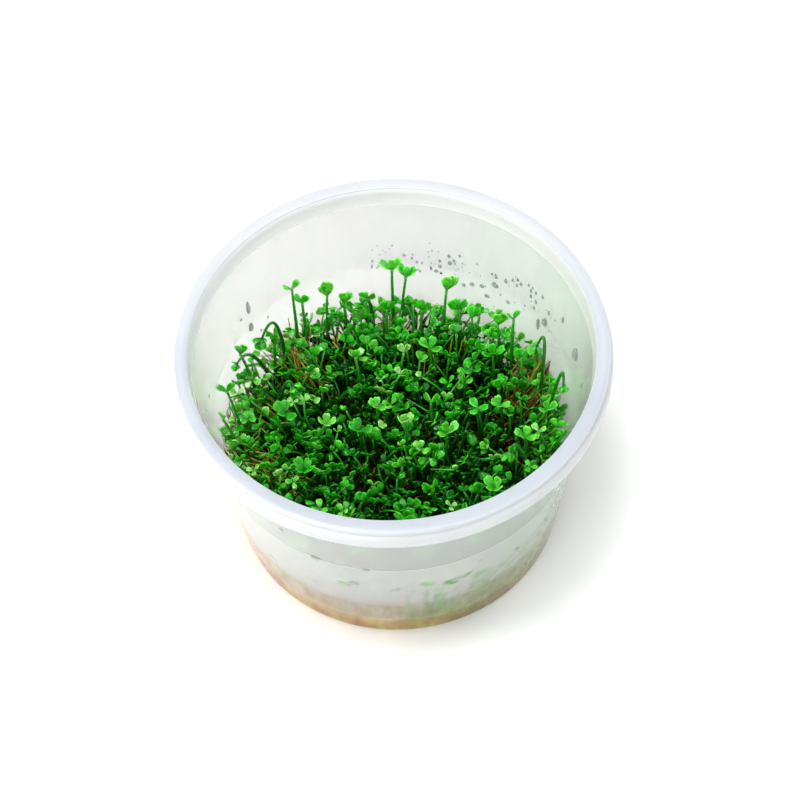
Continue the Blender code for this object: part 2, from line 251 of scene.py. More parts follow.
class Finish:
    """A material built node by node, with short names for what repeats."""

    def __init__(self, name):
        self.material = bpy.data.materials.new(name)
        self.material.use_nodes = True
        self.nodes = self.material.node_tree.nodes
        self.links = self.material.node_tree.links
        self.shader = self.nodes["Principled BSDF"]
        self.spots = None

    def set(self, **values):
        for name, value in values.items():
            self.shader.inputs[name.replace("_", " ")].default_value = value

    def add(self, kind, **settings):
        node = self.nodes.new("ShaderNode" + kind)
        for name, value in settings.items():
            setattr(node, name, value)
        return node

    def position(self):
        if not self.spots:
            self.spots = self.add("TexCoord")
        return self.spots.outputs["Object"]

    def level(self, low=0.0, high=CUP_HEIGHT, axis="Z"):
        """The height, or the place along another axis, as a share between two levels."""
        split = self.add("SeparateXYZ")
        self.links.new(self.position(), split.inputs["Vector"])
        return self.grade(split.outputs[axis], low, high, 0, 1)

    def height(self):
        """The height over the foot, from 0 at the foot to 1 at the rim, a little uneven."""
        level = self.level()
        uneven = self.grade(self.noise(130, 4), 0.3, 0.7, -0.012, 0.012)
        total = self.add("Math", operation="ADD")
        self.links.new(level, total.inputs[0])
        self.links.new(uneven, total.inputs[1])
        return total.outputs["Value"]

    def mark(self, name):
        return self.add("Attribute", attribute_name=name).outputs["Fac"]

    def noise(self, scale, detail, rough=0.55, stretch=None):
        node = self.add("TexNoise")
        node.inputs["Scale"].default_value = scale
        node.inputs["Detail"].default_value = detail
        node.inputs["Roughness"].default_value = rough
        source = self.position()
        if stretch:
            turn = self.add("Mapping")
            turn.inputs["Scale"].default_value = stretch
            self.links.new(source, turn.inputs["Vector"])
            source = turn.outputs["Vector"]
        self.links.new(source, node.inputs["Vector"])
        return node.outputs["Fac"]

    def ramp(self, source, *stops):
        """Colours along a share. A stop is (place, colour); a single number is a grey."""
        node = self.add("ValToRGB")
        bar = node.color_ramp.elements
        while len(bar) < len(stops):
            bar.new(0.5)
        for stop, (place, colour) in zip(bar, stops):
            stop.position = place
            stop.color = (*colour, 1.0) if isinstance(colour, tuple) else (colour, colour, colour, 1.0)
        self.links.new(source, node.inputs["Fac"])
        return node.outputs["Color"]

    def grade(self, source, low, high, start, end):
        node = self.add("MapRange")
        for name, value in zip(("From Min", "From Max", "To Min", "To Max"), (low, high, start, end)):
            node.inputs[name].default_value = value
        self.links.new(source, node.inputs["Value"])
        return node.outputs["Result"]

    def mix(self, share, first, second, blend="MIX"):
        """Two colours mixed by a share, which may be a number."""
        node = self.add("Mix", data_type="RGBA", blend_type=blend)
        if isinstance(share, bpy.types.NodeSocket):
            self.links.new(share, node.inputs["Factor"])
        else:
            node.inputs["Factor"].default_value = share
        self.links.new(first, node.inputs[6])
        self.links.new(second, node.inputs[7])
        return node.outputs[2]

    def times(self, first, second, share=1.0):
        return self.mix(share, first, second, "MULTIPLY")

    def feed(self, socket, source):
        self.links.new(source, self.shader.inputs[socket])

    def rough(self, scale, detail, low, high):
        """Roughness that wanders between two values."""
        self.feed("Roughness", self.grade(self.noise(scale, detail), 0.3, 0.7, low, high))

    def bump(self, source, depth, strength=1.0):
        node = self.add("Bump")
        node.inputs["Distance"].default_value = depth
        node.inputs["Strength"].default_value = strength
        self.links.new(source, node.inputs["Height"])
        self.links.new(node.outputs["Normal"], self.shader.inputs["Normal"])


def wall_plastic():
    """Thin milky plastic, with what lies inside painted into its colour as it shows through: gel,
    roots, then fronds, whose green is painted where they press on it."""
    finish = Finish("milky_polypropylene_wall")
    # Painted show-through by height: amber gel, a pale line at its edge, the root mat, then the fronds;
    # greyer towards the rim
    tint = finish.ramp(
        finish.height(),
        (0.000, (1.00, 0.84, 0.30)),
        (0.022, (1.00, 0.80, 0.30)),
        (0.040, (1.0, 0.61, 0.33)),
        (0.100, (1.0, 0.74, 0.44)),
        (0.116, (1.0, 0.97, 0.86)),
        (0.135, (0.88, 0.74, 0.60)),
        (0.200, (0.84, 0.76, 0.64)),
        (0.245, (0.80, 0.76, 0.66)),
        (0.290, (0.97, 0.965, 0.90)),
        (0.460, (0.985, 0.992, 0.97)),
        (0.620, (0.91, 0.915, 0.905)),
        (1.000, (0.91, 0.91, 0.905)),
    )
    haze = finish.ramp(finish.noise(60, 4, 0.6, (1, 1, 0.35)), (0.3, 0.96), (0.7, 1))
    tint = finish.times(tint, haze)
    # Painted show-through: brown and green specks and streaks, strong at the root mat and faint over it
    painted_contents = finish.ramp(
        finish.noise(75, 4), (0.36, (0.84, 0.68, 0.56)), (0.5, 1), (0.64, (0.70, 0.86, 0.62))
    )
    fine = finish.noise(420, 4, 0.6, (1, 1, 0.2))
    streaks = finish.ramp(fine, (0.38, (0.78, 0.74, 0.66)), (0.6, 1))
    painted_contents = finish.times(painted_contents, streaks)
    share = finish.ramp(finish.level(), (0.238, 1), (0.262, 0.12), (0.6, 0.06))
    tint = finish.times(tint, painted_contents, share)
    # The gel painted in as it shows through: pinker at the left, greener at the right, and clotted
    gel = finish.ramp(
        finish.level(-34 * MM, 34 * MM, "X"),
        (0.0, (0.94, 0.86, 0.90)),
        (0.5, (1.05, 1.05, 0.85)),
        (1.0, (0.70, 0.72, 0.42)),
    )
    clots = finish.ramp(finish.noise(110, 3), (0.4, (0.86, 0.72, 0.66)), (0.6, (1.1, 1.15, 0.95)))
    gel = finish.times(gel, clots)
    # Painted light and shade: the left of the wall lighter, the right darker and greener
    sides = finish.ramp(
        finish.level(-44 * MM, 44 * MM, "X"),
        (0.0, (1.16, 1.13, 1.11)),
        (0.5, (1.0, 0.985, 0.995)),
        (1.0, (0.82, 0.92, 0.82)),
    )
    tint = finish.times(tint, sides)
    share = finish.ramp(finish.height(), (0.11, 1), (0.13, 0.25), (0.3, 0))
    tint = finish.times(tint, gel, share)
    # Outside, a painted shade line over a painted highlight marks the stacking step, with the wall
    # greyer above it; inside, the painted tint of the root mat is lifted again, lighter and greener
    step = finish.ramp(
        finish.level(35.0 * MM, 36.6 * MM),
        (0.0, 1),
        (0.48, 1.2),
        (0.56, (0.55, 0.57, 0.55)),
        (0.68, (0.55, 0.57, 0.55)),
        (0.8, 0.75),
    )
    inside = finish.ramp(
        finish.level(),
        (0.25, (1.35, 1.60, 1.35)),
        (0.29, (1.0, 1.01, 1.02)),
        (0.45, (0.99, 0.99, 1.01)),
        (0.62, (1.05, 1.03, 1.06)),
    )
    inside = finish.times(tint, inside)
    tint = finish.mix(finish.mark("outside"), inside, finish.times(tint, step))
    # Painted show-through of the leaves and petioles that press on the front of the wall
    leaf = finish.ramp(finish.noise(260, 4), (0.38, (0.06, 0.28, 0.02)), (0.62, (0.30, 0.80, 0.18)))
    finish.feed("Base Color", finish.mix(finish.mark("growth"), tint, leaf))
    finish.rough(180, 3, 0.06, 0.12)
    finish.set(Transmission_Weight=0.68, IOR=1.45)
    finish.set(Subsurface_Weight=1.0, Subsurface_Scale=0.003, Subsurface_Radius=(1.0, 1.0, 1.0))
    finish.bump(finish.noise(160, 2), 0.00005, 0.3)
    return finish.material


def rim_plastic():
    """The rim is thicker, so it is whiter and clears less than the wall; greyer on its flat, and painted
    lighter at the back than at the front.
    """
    finish = Finish("milky_polypropylene_rim")
    haze = finish.ramp(finish.noise(90, 3, 0.5, (1, 1, 3)), (0.3, 0.94), (0.7, 1))
    level = finish.level(60.4 * MM, 61.5 * MM)
    # Painted light: the back of the rim lighter than the front
    front = finish.ramp(
        level, (0.0, (0.77, 0.79, 0.80)), (0.8, (0.74, 0.77, 0.81)), (1.0, (0.55, 0.59, 0.65))
    )
    back = finish.ramp(level, (0.0, (0.84, 0.85, 0.87)), (1.0, (0.69, 0.71, 0.74)))
    tint = finish.mix(finish.level(-20 * MM, 30 * MM, "Y"), front, back)
    finish.feed("Base Color", finish.times(tint, haze))
    finish.rough(240, 3, 0.3, 0.4)
    finish.set(Transmission_Weight=0.3, IOR=1.45)
    return finish.material


def collar_plastic():
    """Behind the rim the plastic is double, so little shows through the wall there."""
    finish = Finish("milky_polypropylene_collar")
    haze = finish.ramp(finish.noise(60, 4, 0.6, (1, 1, 0.35)), (0.3, 0.97), (0.7, 1))
    # Painted light and shade: lighter at the left, darker at the right
    sides = finish.ramp(
        finish.level(-44 * MM, 44 * MM, "X"),
        (0.0, (1.0, 1.0, 0.99)),
        (0.6, (0.96, 0.96, 0.95)),
        (1.0, (0.60, 0.62, 0.58)),
    )
    finish.feed("Base Color", finish.times(haze, sides))
    finish.set(Transmission_Weight=0.05, IOR=1.45, Roughness=0.2)
    finish.set(Subsurface_Weight=1.0, Subsurface_Scale=0.005, Subsurface_Radius=(1.0, 1.0, 1.0))
    return finish.material


def amber():
    finish = Finish("amber_gel")
    cloud = finish.noise(90, 3)
    finish.feed("Base Color", finish.ramp(cloud, (0.3, (0.80, 0.50, 0.26)), (0.7, (0.90, 0.64, 0.38))))
    finish.set(Transmission_Weight=0.75, IOR=1.34, Roughness=0.12)
    inside = finish.add("VolumeAbsorption")
    inside.inputs["Color"].default_value = (0.80, 0.46, 0.20, 1.0)
    inside.inputs["Density"].default_value = 160.0
    output = finish.nodes["Material Output"]
    finish.links.new(inside.outputs["Volume"], output.inputs["Volume"])
    finish.bump(finish.noise(300, 2), 0.0001, 0.4)
    return finish.material


def root_tangle():
    finish = Finish("root_tangle")
    fibre = finish.noise(420, 6, 0.7)
    colour = finish.ramp(
        fibre,
        (0.30, (0.001, 0.008, 0.001)),
        (0.46, (0.004, 0.022, 0.002)),
        (0.58, (0.024, 0.016, 0.004)),
        (0.70, (0.004, 0.060, 0.002)),
    )
    finish.feed("Base Color", colour)
    finish.rough(700, 3, 0.5, 0.85)
    finish.set(Specular_IOR_Level=0.06)
    finish.bump(finish.noise(900, 5, 0.7), 0.0006)
    return finish.material


def root_thread():
    finish = Finish("root_thread")
    tint = finish.noise(160, 3)
    colour = finish.ramp(
        tint, (0.35, (0.10, 0.055, 0.03)), (0.5, (0.26, 0.15, 0.07)), (0.65, (0.45, 0.33, 0.18))
    )
    finish.feed("Base Color", colour)
    finish.set(Roughness=0.5)
    finish.bump(finish.noise(2500, 3), 0.00005)
    return finish.material


def frond_green():
    """Leaves by their tone of green, which is lower for fronds deep in the crowd as painted shade; dark at
    the heart (painted shade) and pale at the edge (painted highlight); petioles browner at the foot;
    everything darker lower down, as painted shade."""
    finish = Finish("frond_green")
    tone = finish.mark("tone")
    along = finish.mark("along")
    green = finish.ramp(
        tone,
        (0.0, (0.001, 0.055, 0.001)),
        (0.3, (0.006, 0.250, 0.002)),
        (0.6, (0.026, 0.500, 0.006)),
        (0.8, (0.085, 0.540, 0.024)),
        (1.0, (0.270, 0.710, 0.120)),
    )
    mottle = finish.ramp(finish.noise(800, 4), (0.36, (0.35, 0.50, 0.30)), (0.64, (1.6, 1.30, 2.0)))
    green = finish.times(green, mottle, 0.8)
    # Painted shade at the heart of each head, where the leaflets meet, and painted light at their tips
    heart = finish.ramp(
        along, (0.0, (0.25, 0.38, 0.3)), (0.45, (0.85, 0.9, 0.85)), (1.0, (1.15, 1.12, 1.2))
    )
    green = finish.times(green, heart)
    # Painted highlight along the edge of each leaflet
    painted_edge_highlight = finish.ramp(finish.mark("edge"), (0.6, (0.9, 0.93, 0.9)), (1.0, (2.1, 1.4, 2.1)))
    green = finish.times(green, painted_edge_highlight)
    stalk = finish.ramp(
        finish.grade(along, -1, 0, 0, 1),
        (0.0, (0.050, 0.070, 0.008)),
        (0.2, (0.016, 0.130, 0.006)),
        (0.6, (0.014, 0.270, 0.010)),
        (1.0, (0.050, 0.420, 0.022)),
    )
    shade = finish.ramp(tone, (0.0, (0.25, 0.35, 0.25)), (0.6, 0.8), (1.0, (1.6, 1.15, 2.0)))
    stalk = finish.times(stalk, shade)
    green = finish.mix(finish.grade(along, -0.02, 0.05, 0, 1), stalk, green)
    # Painted shade: everything darker lower down in the crowd
    down = finish.level(14 * MM, 27 * MM)
    painted_depth_shade = finish.ramp(down, (0.0, (0.18, 0.45, 0.12)), (0.45, (0.58, 0.84, 0.48)), (0.9, 1.05))
    finish.feed("Base Color", finish.times(green, painted_depth_shade))
    finish.feed("Roughness", finish.grade(finish.noise(1000, 2), 0.4, 0.6, 0.05, 0.35))
    finish.set(IOR=1.4, Specular_IOR_Level=0.4, Coat_Weight=0.4, Coat_Roughness=0.1)
    finish.set(Subsurface_Weight=0.1, Subsurface_Scale=0.001, Subsurface_Radius=(0.3, 1.0, 0.15))
    finish.bump(finish.noise(1500, 3), 0.00012, 0.7)
    return finish.material


def old_stem():
    """Dead petioles and leaf litter: dark red-brown, orange-brown, olive, then straw."""
    finish = Finish("old_stem")
    tint = finish.ramp(
        finish.mark("tone"),
        (0.0, (0.060, 0.016, 0.006)),
        (0.3, (0.260, 0.060, 0.015)),
        (0.6, (0.260, 0.120, 0.030)),
        (0.8, (0.160, 0.320, 0.012)),
        (0.9, (0.240, 0.330, 0.020)),
        (1.0, (0.460, 0.370, 0.045)),
    )
    worn = finish.ramp(finish.noise(500, 4), (0.35, (0.55, 0.5, 0.45)), (0.65, 1.3))
    finish.feed("Base Color", finish.times(tint, worn))
    finish.set(Roughness=0.42)
    finish.bump(finish.noise(1800, 3), 0.00008)
    return finish.material


def clear_drop():
    """Clear water; the drops with a high tone are spread thinner, so they are paler."""
    finish = Finish("condensation")
    uneven = finish.noise(500, 2)
    full = finish.ramp(uneven, (0.3, (0.42, 0.48, 0.46)), (0.7, (0.60, 0.65, 0.63)))
    thin = finish.ramp(uneven, (0.3, (0.74, 0.82, 0.72)), (0.7, (0.92, 0.96, 0.92)))
    finish.feed("Base Color", finish.mix(finish.mark("tone"), full, thin))
    finish.set(Transmission_Weight=0.8, IOR=1.33, Roughness=0.02)
    return finish.material


def pale_floor():
    finish = Finish("pale_floor")
    cloud = finish.noise(6, 3)
    finish.feed("Base Color", finish.ramp(cloud, (0.3, (0.93, 0.93, 0.92)), (0.7, (0.96, 0.96, 0.95))))
    finish.set(Roughness=0.6)
    return finish.material


# The cup

# Fronds pressed flat on the inside of the wall. Petioles: angle round the cup in degrees, low
# and high end, tone. Leaflets: angle, height, length, lean in degrees, tone. In millimetres
WALL_PETIOLES = (
    (272.0, 8.4, 25, 0.3), (277.8, 10, 23, 0.6), (279.6, 8.3, 20, 0.8), (281.8, 10, 24, 0.6),
    (283.5, 8.3, 19, 0.8), (286.5, 9, 20, 0.6), (293.5, 9, 22, 0.5), (296.0, 8.5, 20, 0.4),
    (298.5, 10, 24, 0.45), (305.0, 9, 18, 0.3), (312.0, 10, 24, 0.3), (318.0, 9, 26, 0.3),
    (226.0, 9, 18, 0.3), (238.0, 10, 17, 0.2), (322.5, 12, 30, 0.3), (301.5, 9, 21, 0.35),
)
WALL_LEAFLETS = (
    (279.7, 26.0, 3.6, 60, 0.8), (287.0, 23.6, 4.0, 50, 1.0), (288.8, 25.2, 3.2, -50, 0.9),
    (295.0, 22.0, 3.6, 20, 0.8), (224.8, 18.2, 2.6, 30, 0.6), (227.6, 12.6, 2.6, -40, 0.5),
    (276.0, 22.0, 2.0, -60, 0.4), (283.0, 21.0, 2.2, 30, 0.5), (232.0, 16.0, 2.0, 70, 0.3),
    (254.5, 25.0, 4.0, 80, 0.7), (268.0, 25.0, 1.8, 70, 0.5), (243.8, 35.0, 2.0, 60, 0.3),
)


def crowd_on_wall():
    """The leaflets where the growth leans on the front wall, right of the middle: a narrow
    column, the crowd beside it, and old leaves down to the gel."""
    spots = list(WALL_LEAFLETS)
    for _ in range(46):
        spots.append((chance.gauss(296.5, 2.2), chance.uniform(9, 24), 2.3, chance.uniform(-90, 90), 0.5))
    for _ in range(60):
        angle = chance.uniform(302, 332)
        high = chance.uniform(14, 22 + 0.35 * (angle - 302))
        spots.append((angle, high, 2.3, chance.uniform(-90, 90), 0.4))
    for _ in range(80):
        angle = chance.uniform(286, 334)
        high = chance.uniform(3, 12)
        spots.append((angle, high, 2.3, chance.uniform(-90, 90), 0.3 + 0.009 * (angle - 286)))
    return spots


ON_THE_WALL = crowd_on_wall()


def growth_behind(spot):
    """How much of a frond shows through the wall at a spot on its outside, from 0 to 1."""
    angle, height = math.degrees(math.atan2(spot.y, spot.x)) % 360, spot.z / MM
    radius = outer_wall(spot.z) / MM
    shown = 0.0
    for leaf_angle, foot, length, lean, tone in ON_THE_WALL:
        across = math.radians(angle - leaf_angle) * radius
        up = height - foot
        if abs(across) > 4 or abs(up) > 4:
            continue
        lean = math.radians(lean)
        along = up * math.cos(lean) - across * math.sin(lean)
        beside = across * math.cos(lean) + up * math.sin(lean)
        near = 1 - math.hypot((along - 0.5 * length) / (0.6 * length), beside / (0.36 * length))
        shown = max(shown, tone * clamp(near * 2.5))
    for middle, low, high, tone in WALL_PETIOLES:
        sway = middle + 0.9 * math.sin((height - low) / (high - low) * 5.6 + middle)
        across = abs(math.radians(angle - sway) * radius)
        if low - 1 < height < high:
            shown = max(shown, tone * clamp(1 - across / 0.9))
    return shown


def cup_profile():
    """Inside floor, inner wall, flat ring, groove, skirt, outer wall and foot."""
    heel_radius = inner_wall(3.6 * MM) - 2.0 * MM
    inside = [(0.0, FLOOR_TOP)] + arc((heel_radius, 3.6 * MM), 2.0 * MM, -90, -5, 8)
    inside += [(inner_wall(h * MM), h * MM) for h in (8, 14, 20, 26, 32)]
    inside += [(inner_wall(h * MM), h * MM) for h in (37, 42, 48, 54)]
    inside += [(inner_wall(COLLAR_FOOT), COLLAR_FOOT), (inner_wall(59 * MM), 59 * MM)]
    rim = [
        (46.05, 61.2), (46.12, 61.42), (46.35, 61.5), (48.6, 61.5), (48.9, 61.45), (49.2, 61.3),
        (49.38, 61.0), (49.34, 60.5), (49.22, 60.1), (49.28, 59.8), (49.6, 59.55), (49.88, 59.2),
        (50.0, 58.7), (50.0, 56.6), (49.92, 56.32), (49.7, 56.2), (49.3, 56.2), (49.1, 56.4),
        (48.95, 58.4), (48.5, 60.1), (48.2, 60.4), (47.3, 60.4), (46.95, 60.1),
    ]
    rim = [(radius * MM, height * MM) for radius, height in rim]
    outside = [(outer_wall(h * MM), h * MM) for h in (58, 54, 48, 42)]
    outside += [(outer_wall(h * MM), h * MM) for h in (36.8, 36.2)]
    outside += [(outer_wall(h * MM) - 0.02 * MM, h * MM) for h in (36.05, 35.85)]
    outside += [(outer_wall(h * MM), h * MM) for h in (35.75, 35.2)]
    outside += [(outer_wall(h * MM), h * MM) for h in range(34, 2, -1)]
    foot = outer_wall(1.2 * MM) - 1.2 * MM
    outside += arc((foot, 1.2 * MM), 1.2 * MM, 0, -90, 7)
    outside += [(foot - 1.8 * MM, 0.0), (foot - 2.1 * MM, 0.25 * MM), (foot - 2.4 * MM, 0.7 * MM)]
    return inside + rim + outside + [(0.0, 0.7 * MM)]


def make_cup():
    cup = turned("culture_cup_moulding", cup_profile(), 240)
    bpy.ops.object.shade_smooth_by_angle(angle=math.radians(40))
    done(cup, wall_plastic(), "cup_plastic", "culture_cup")
    cup.data.materials.append(rim_plastic())
    cup.data.materials.append(collar_plastic())
    rim, collar = 1, 2
    outside, growth = [], []
    for vert in cup.data.vertices:
        out = math.hypot(vert.co.x, vert.co.y) > inner_wall(vert.co.z) + 0.4 * MM
        outside.append(float(out))
        growth.append(growth_behind(vert.co) if out else 0.0)
    marked(cup, "outside", outside)
    marked(cup, "growth", growth)
    for face in cup.data.polygons:
        reach, height = math.hypot(face.center.x, face.center.y), face.center.z
        if reach > outer_wall(height) + 0.1 * MM or height > BEAD_EDGE:
            face.material_index = rim
        elif height > COLLAR_FOOT and reach < inner_wall(height) + 0.2 * MM:
            face.material_index = collar


def make_gel():
    """The gel fills the foot of the cup and climbs a little where it wets the wall."""
    gap = 0.06 * MM
    edge = inner_wall(7.6 * MM) - gap
    profile = [(0.0, GEL_TOP), (30 * MM, GEL_TOP), (edge - 1.4 * MM, GEL_TOP + 0.02 * MM)]
    profile += [(edge - 0.6 * MM, GEL_TOP + 0.12 * MM), (edge, 7.7 * MM)]
    heel = inner_wall(3.6 * MM) - 2.0 * MM
    profile += arc((heel, 3.7 * MM), 2.0 * MM - gap, -5, -90, 7)
    profile += [(0.0, FLOOR_TOP + gap + 0.04 * MM)]
    gel = turned("gel_layer", profile, 128)
    bpy.ops.object.shade_smooth_by_angle(angle=math.radians(50))
    done(gel, amber(), "amber_gel", "agar_gel")


def mat_height(x, y):
    """Top of the root mat over the plan, in large and small lumps."""
    lump = noise.noise(Vector((x, y, 0)) / (7 * MM)) * 0.8 * MM
    lump += noise.noise(Vector((x, y, 0.02)) / (2.2 * MM)) * 0.35 * MM
    return MAT_TOP + lump


def make_mat():
    """The tangle of roots and old leaves between the gel and the fronds."""
    edge = inner_wall(12 * MM) - 0.5 * MM
    profile = [(0.0, MAT_BOTTOM), (edge - 1 * MM, MAT_BOTTOM)]
    profile += [(edge, h * MM) for h in (8.4, 9.4, 10.4, 11.4, 12.4, 13.4, 14.4)]
    profile += [(edge - 0.3 * MM, MAT_TOP)]
    profile += [(r * MM, MAT_TOP) for r in range(37, 1, -1)]
    profile += [(0.0, MAT_TOP)]
    mat = turned("root_and_rhizome_mat", profile, 120)
    shoulder = edge - 0.4 * MM
    for vert in mat.data.vertices:
        x, y, z = vert.co
        reach = math.hypot(x, y)
        if reach > shoulder:
            rough = noise.noise(vert.co / (1.6 * MM)) * 0.5 + noise.noise(vert.co / (5 * MM)) * 0.5
            pull = 1 - (0.35 + 0.5 * rough) * MM / reach
            vert.co.x, vert.co.y = x * pull, y * pull
        if z > MAT_TOP - 0.1 * MM:
            vert.co.z = mat_height(x, y) - (0.9 * MM if reach > shoulder else 0)
    bpy.ops.object.shade_smooth()
    done(mat, root_tangle(), "root_brown", "root_mat")


# Leaflets and heads


def leaflet(name, sides, rings, cup, scallop, notch):
    """One leaflet a millimetre long, its base at the origin and its tip towards +Y: a
    flattened ball, drawn in towards the base, cupped, scalloped and notched at the tip."""
    bpy.ops.object.select_all(action="DESELECT")
    bpy.ops.mesh.primitive_uv_sphere_add(
        segments=sides, ring_count=rings, radius=0.5 * MM, location=(0, 0.5 * MM, 0)
    )
    piece = settle(added(name))
    along, edge = [], []
    for vert in piece.data.vertices:
        x, y, z = vert.co / MM
        share = clamp(y)
        flat = math.hypot(x, y - 0.5) * 2
        wave = 1 - scallop * flat**4 * (0.5 + 0.5 * math.cos(9 * math.atan2(x, y - 0.35)))
        x *= (0.30 + 0.66 * share) * wave
        y = 0.35 + (y - 0.35) * wave if y > 0.35 else y
        y -= notch * max(0.0, flat - 0.4) * max(0.0, 1 - abs(x) / 0.16) * (y > 0.5)
        z = z * 0.13 + cup * (0.9 * x * x + 0.28 * y * y)
        vert.co = Vector((x, y, z)) * MM
        along.append(share)
        edge.append(flat)
    marked(piece, "along", along)
    marked(piece, "edge", edge)
    marked(piece, "tone", [0.5] * len(along))
    bpy.ops.object.shade_smooth()
    return piece


def spin(x=0, y=0, z=0):
    """A turn about X, then Y, then Z, in degrees."""
    turn = Matrix.Rotation(math.radians(x), 4, "X")
    turn = Matrix.Rotation(math.radians(y), 4, "Y") @ turn
    return Matrix.Rotation(math.radians(z), 4, "Z") @ turn


# How the leaflets sit on a petiole: one (x, y, z turn in degrees, size) for each
HEADS = {
    "heart": [(62, -26, 0, 1.0), (60, 28, 0, 1.0)],
    "half_open": [(76, 10, 0, 1.2), (48, -56, 0, 0.8), (34, -26, 0, 0.55)],
    "spread": [(30, 0, 66, 1.0), (34, 0, -68, 0.95), (52, 0, 4, 0.8), (24, 0, 180, 0.5)],
    "pair": [(40, -56, 6, 1.0), (44, 54, -6, 0.95)],
    "wing": [(30, 0, 84, 0.95), (58, 34, -10, 1.0)],
    "crown": [(40, -74, 0, 0.9), (64, -28, 8, 1.0), (60, 22, 0, 0.85), (38, 72, 0, 1.0)],
    "trefoil": [(34, 0, 176, 1.0), (30, 0, 66, 0.9), (44, 0, -56, 1.0)],
    "fan": [(56, 0, 180, 0.7), (50, -58, 0, 0.95), (58, 36, 0, 1.0)],
    "cross": [(24, 0, 40, 1.0), (40, 0, 122, 0.8), (16, 0, 212, 1.0), (36, 0, 312, 0.9)],
    "loose_cross": [(58, 0, 20, 0.9), (16, 0, 108, 0.9), (50, 0, 190, 0.9), (24, 0, 286, 1.05)],
    "folded": [(74, 0, 90, 0.9), (78, 0, 250, 1.0), (66, 0, 180, 0.85)],
    "cap": [(6, 0, 30, 1.0), (-4, 0, 152, 0.95), (2, 0, 268, 0.95)],
    "umbrella": [(48, 0, 100, 1.0), (58, 0, 190, 0.85), (40, 0, 300, 1.0), (64, 0, 20, 0.9)],
    "bunch": [
        (62, 0, 20, 1.0), (44, 0, 84, 0.9), (70, 0, 150, 1.0), (36, 0, 210, 0.85), (58, 0, 268, 1.0),
        (24, 0, 320, 0.8), (12, 0, 120, 0.6),
    ],
}


def head(name, blade):
    """Copies of the leaflet, set a little unevenly round the end of a petiole and joined. A
    turn about Y of less than 25 degrees is left out."""
    leaves = []
    for x, y, z, size in HEADS[name]:
        x, y, z = (angle + chance.gauss(0, 7) for angle in (x, y, z))
        place = spin(x, y if abs(y) > 25 else 0, z)
        leaves.append(copied(blade, place @ Matrix.Scale(size, 4), 0.5))
    return joined(f"{name}_head_{blade.name}", leaves)


def head_kinds(blade):
    """Three heads of each kind, no two alike."""
    return {name: [head(name, blade) for _ in range(3)] for name in HEADS}


def put_away(blade, heads):
    """Removes the modelled originals once all their copies are made."""
    for piece in [blade, *(one for kind in heads.values() for one in kind)]:
        bpy.data.objects.remove(piece, do_unlink=True)


# Fronds


def bend(foot, middle, top, points, thick, loss):
    """A curve from foot to top that is drawn towards a middle point, thinner upwards."""
    path = []
    for i in range(points):
        t = i / (points - 1)
        place = foot * (1 - t) ** 2 + middle * 2 * t * (1 - t) + top * t**2
        path.append((place, thick - loss * t))
    return path


def petiole_path(foot, top, bow, points):
    """A petiole that leaves the mat upright and curves to its head."""
    middle = Vector((foot.x, foot.y, foot.z + 0.6 * (top.z - foot.z))) + bow * 2
    return bend(foot, middle, top, points, 1.25, 0.45)


def stalks(name, paths, thickness, tones, rounding):
    """Petioles with their marks: along runs from -1 at the foot to 0 at the head. The mesh
    holds the end rings of all paths first, from the last path to the first, then the rest."""
    piece = drawn(name, paths, thickness, rounding)
    points = len(paths[0])
    ring = 4 + 2 * rounding
    along = ([0.0] * ring + [-1.0] * ring) * len(paths)
    along += [-1 + i / (points - 1) for i in range(points) for _ in range(ring)] * len(paths)
    tone = [value for value in reversed(tones) for _ in range(2 * ring)]
    tone += [value for value in tones for _ in range(points * ring)]
    marked(piece, "along", along)
    marked(piece, "tone", tone)
    return merged(piece)


def head_place(path, size, turn, tilt, side, follow):
    """Where a head sits: at the petiole's end, following its direction, turned on it and
    tilted towards a side; side 0 tilts it to the front."""
    end = path[-1][0]
    lean = (end - path[-2][0]).normalized()
    upright = Vector((0, 0, 1))
    lean = upright.rotation_difference(upright.lerp(lean, follow)).to_matrix().to_4x4()
    tip = spin(z=side) @ spin(x=tilt) @ spin(z=turn - side)
    return Matrix.Translation(end) @ lean @ tip @ Matrix.Scale(size, 4)


